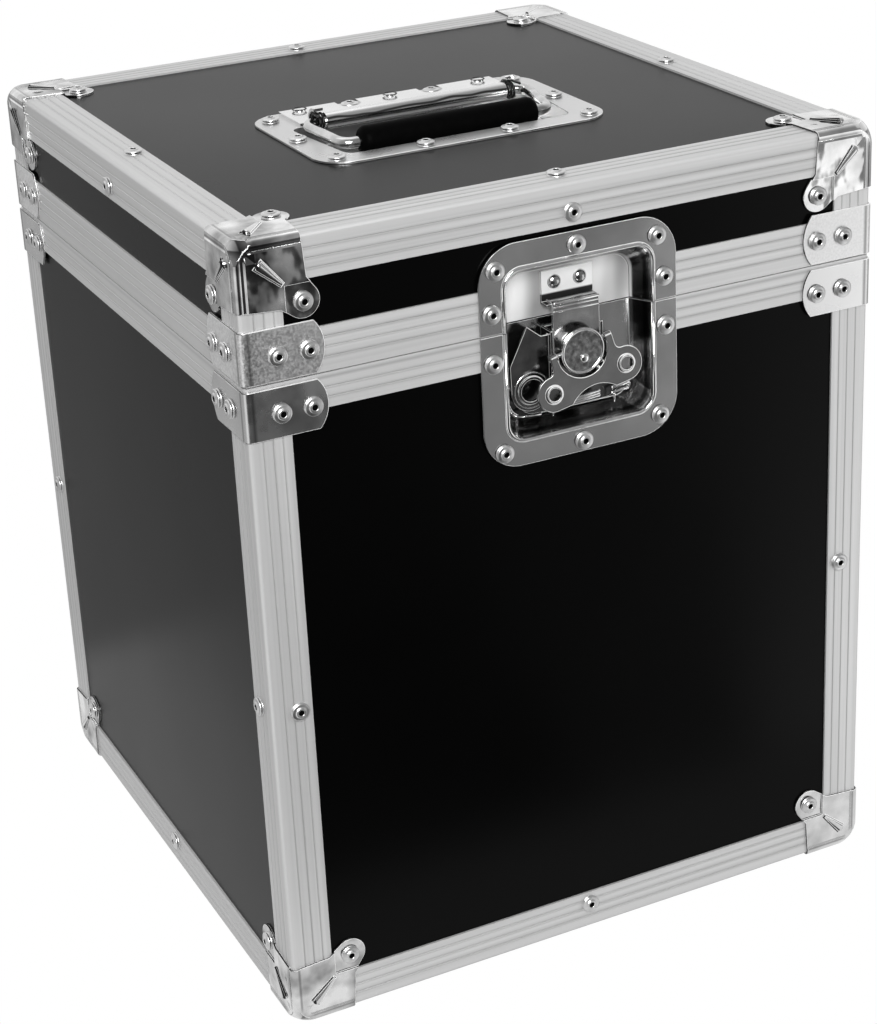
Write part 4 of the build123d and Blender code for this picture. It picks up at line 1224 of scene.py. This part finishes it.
# %% One rib
rib_from, rib_to = 16.2, 30.2
rib_big, rib_small = 2.2, 1.15
rib_flatness = 0.78
leaf_out = 1.25


def rib_end(name, radius, along):
    bpy.ops.mesh.primitive_uv_sphere_add(
        segments=24, ring_count=12, radius=radius * MM, location=(along * MM, 0, 0)
    )
    return settle(added(name))


def rib_drop(name):
    """One drop along +X that bulges to +Z, with its corner at the origin."""
    bpy.ops.mesh.primitive_cone_add(
        vertices=24,
        radius1=rib_big * MM,
        radius2=rib_small * MM,
        depth=(rib_to - rib_from) * MM,
        location=((rib_from + rib_to) / 2 * MM, 0, 0),
        rotation=(0, radians(90.0), 0),
    )
    cone = settle(added(name + "_cone"))
    wide = rib_end(name + "_wide", rib_big, rib_from)
    narrow = rib_end(name + "_narrow", rib_small, rib_to)
    drop = joined(name, [cone, wide, narrow])
    edit_all(drop)
    bpy.ops.transform.resize(value=(1.0, 1.0, rib_flatness), center_override=(0, 0, 0))
    end_edit()
    return smooth(drop, 40.0)


drop = rib_drop("corner_rib")
tell(drop)


# %% Ribs in place
def axes_at(x, y, z, place):
    """Matrix that turns a piece to three axes and moves it to a place in metres."""
    return Matrix([[x[i], y[i], z[i], place[i]] for i in range(3)] + [[0, 0, 0, 1]])


def ribs_of_corner(vertex, inwards):
    """A copy of the drop on each of the three leaves that meet at a vertex."""
    copies = []
    for skipped in range(3):
        first, second = (inwards[i] for i in range(3) if i != skipped)
        out = -inwards[skipped]
        along = (first + second).normalized()
        copy = linked_copy(drop)
        copy.matrix_world = axes_at(along, out.cross(along), out, (vertex + out * leaf_out) * MM)
        copies.append(copy)
    return copies


for body, level, inward in (("base", z_foot, 1.0), ("lid", z_top, -1.0)):
    drops = []
    for side in (-1.0, 1.0):
        for depth in (-1.0, 1.0):
            vertex = Vector((side * half_case, depth * half_case, level))
            inwards = (Vector((-side, 0, 0)), Vector((0, -depth, 0)), Vector((0, 0, inward)))
            drops += ribs_of_corner(vertex, inwards)
    mount(settle(joined(f"{body}_corner_ribs", drops)), rib_chrome, body)
bpy.data.objects.remove(drop)

# %% [markdown]
# ## Rings round the holes of the handle's barrel plate
#
# Three holes in the barrel's plate show a dark rim of shade. A low dark ring
# lies round each as painted shade, shaped like the rings on the latch's eye.

# %% Rings of the barrel plate
handle_x, handle_y = -4.2, -27.3
hole_y = handle_y + 47.5
hole_pitch = 54.0
plate_top = z_top + 2.72
hole_shade_rings = []
for along in (-hole_pitch, 0.0, hole_pitch):
    centre = (handle_x + along, hole_y, plate_top)
    hole_shade_rings.append(ring("hole_shade_ring", centre, (0, 0, 0), 3.6, 0.55, (36, 10), (1.0, 1.0, 0.4)))
# Painted shade: dark rings round the holes.
mount(joined("barrel_hole_shade_rings", hole_shade_rings), dark_wire, "lid")

# %% [markdown]
# ## Foam
#
# Open-cell foam is cut from sheet with a hot wire, so its edges are square
# but soft.

# %% Foam pads
for name in [name for name in nodes if "foam" in name]:
    pad = frame_copy(name, name.replace("_foam", "_pad"))
    foam.dress(pad)
    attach(pad, "lid" if name.startswith("lid") else "base")
    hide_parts(name)
    print(pad.name, "fills", name)

# %% [markdown]
# ## Camera
#
# The view was found by fitting the case's own straight edges to the photo:
# a long lens from the front left, a little above, and hardly rolled. The lens
# and shift are worked out from the fitted numbers, which stay in pixels of
# the photo.

# %% Camera
photo_w, photo_h = 877.0, 1024.0
focal_px = 2359.0
axis_px = (433.6, 422.1)
azimuth, elevation, roll = radians(-25.13), radians(22.36), radians(-2.919)
eye_from_corner = Vector((-352.6, -955.6, 751.0))
front_left_foot = Vector((-half_case, -half_case, z_foot))

back = Vector((sin(azimuth) * cos(elevation), -cos(azimuth) * cos(elevation), sin(elevation)))
level_right = Vector((0, 0, 1)).cross(back).normalized()
level_up = back.cross(level_right)
right = level_right * cos(roll) + level_up * sin(roll)
up = level_right * -sin(roll) + level_up * cos(roll)
eye = (front_left_foot + eye_from_corner) * MM

lens = bpy.data.cameras.new("camera")
camera = bpy.data.objects.new("camera", lens)
scene.collection.objects.link(camera)
camera.matrix_world = axes_at(right, up, back, eye)
lens.sensor_width = 36.0
lens.lens = focal_px / photo_h * lens.sensor_width
lens.shift_x = (photo_w / 2 - axis_px[0]) / photo_h
lens.shift_y = (axis_px[1] - photo_h / 2) / photo_h
lens.clip_start = 0.05
lens.clip_end = 50.0
scene.camera = camera
print(f"lens {lens.lens:.1f} mm from {eye.length:.2f} m")

# %% [markdown]
# ## Sky
#
# A product table: white behind, big soft lights. Metal looks like what it
# mirrors, so the sky is graded. It is dim in front, where the photographer
# stands, and pale behind. The camera itself sees plain white.

# %% Sky
scene.view_settings.view_transform = "Standard"
sky_front, sky_back = 0.30, 0.95
scene.world = bpy.data.worlds.new("studio")
sky = Tree(scene.world)
sky.nodes.clear()
_, sky_y, _ = sky.coordinates("Generated")
mirrored_sky = sky_y.eased(-0.5, 0.7, sky_front, sky_back)
seen = Term(sky, sky.make("ShaderNodeLightPath").outputs["Is Camera Ray"])
glow = sky.make("ShaderNodeBackground", None, grey(1.0), seen + (1.0 - seen) * mirrored_sky)
sky.make("ShaderNodeOutputWorld", None, glow.outputs[0])
print("sky from", sky_front, "in front to", sky_back, "behind")

# %% [markdown]
# ## Floor
#
# The front of the case mirrors the floor before it. A studio lays white and
# black cards there, out of the picture, to draw light and dark bands on
# metal. Here the floor has those cards by direction, in what it sends to
# glossy rays. Close to the case it is evenly pale. It stays a matt floor with
# the object's shadow for all other light, and white for the camera.

# %% Cards round the case
bpy.ops.mesh.primitive_plane_add(size=12.0, location=(0, 0, -0.5 * MM))
floor = added("floor")
floor.data.materials.append(bpy.data.materials.new("floor"))
ground = Tree(floor.data.materials[0])
ground.nodes.clear()

full_turn = radians(360.0)
card_strength = 1.3
black_card, white_card = 0.04, 1.25
# Direction in degrees, 0 in front and 90 to the right, and brightness
cards = [(-180, 0.42), (-84, 0.50), (-70, 1.0), (-52, 1.0), (-40, black_card), (6, black_card)]
cards += [(12, 0.07), (16, 0.28), (31, 0.27), (35, white_card), (50, white_card), (62, 0.45), (180, 0.42)]
stops = [(angle / 360.0 + 0.5, level / card_strength) for angle, level in cards]
print(len(cards), "stops of brightness round the case")

# %% Floor
near_level = 0.78
near_from, near_to = 260.0, 310.0
ground_x, ground_y, _ = (term / MM for term in ground.coordinates("Object"))
around = ground_x.angle_from(0.0 - ground_y) / full_turn + 0.5
by_direction = ground.make("ShaderNodeValToRGB", {"stops": stops}, around).outputs[0]
reach = ground_x.distance_from(0.0).larger(ground_y.distance_from(0.0))
close_by = reach.eased(near_from, near_to, 1.0, 0.0)
card = ground.mix(close_by, by_direction, grey(near_level / card_strength))

path = ground.make("ShaderNodeLightPath").outputs
mirrored = ground.make("ShaderNodeEmission", None, card, card_strength).outputs[0]
white = ground.make("ShaderNodeEmission", None, grey(1.0), 1.0).outputs[0]
matt = ground.make("ShaderNodeBsdfDiffuse", None, grey(0.32)).outputs[0]
for_metal = ground.make("ShaderNodeMixShader", None, path["Is Glossy Ray"], matt, mirrored).outputs[0]
for_camera = ground.make("ShaderNodeMixShader", None, path["Is Camera Ray"], for_metal, white).outputs[0]
ground.make("ShaderNodeOutputMaterial", None, for_camera)
print("floor has", len(ground.nodes), "nodes")

# %% [markdown]
# ## Lights
#
# A large key light from the front left, a weaker fill from the right and a
# little light from above. Large areas give soft shadows. The fill is hidden
# from reflections, because the black top would mirror it as a white patch
# when it is seen from behind.


# %% Lights
def softbox(name, place, width, height, power, aim_height):
    light = bpy.data.lights.new(name, "AREA")
    light.shape = "RECTANGLE"
    light.size, light.size_y = width, height
    light.energy = power
    lamp = bpy.data.objects.new(name, light)
    scene.collection.objects.link(lamp)
    lamp.location = place
    towards = Vector((0, 0, aim_height)) - Vector(place)
    lamp.rotation_euler = towards.to_track_quat("-Z", "Y").to_euler()
    print(f"{name} light of {power:.0f} W")
    return lamp


softbox("key", (-1.2, -2.6, 1.9), 1.6, 1.6, 130.0, 0.25)
fill = softbox("fill", (2.6, -1.8, 1.0), 1.2, 1.8, 40.0, 0.2)
fill.visible_glossy = False
softbox("top", (0.0, 0.8, 2.6), 2.0, 1.4, 4.0, 0.4)
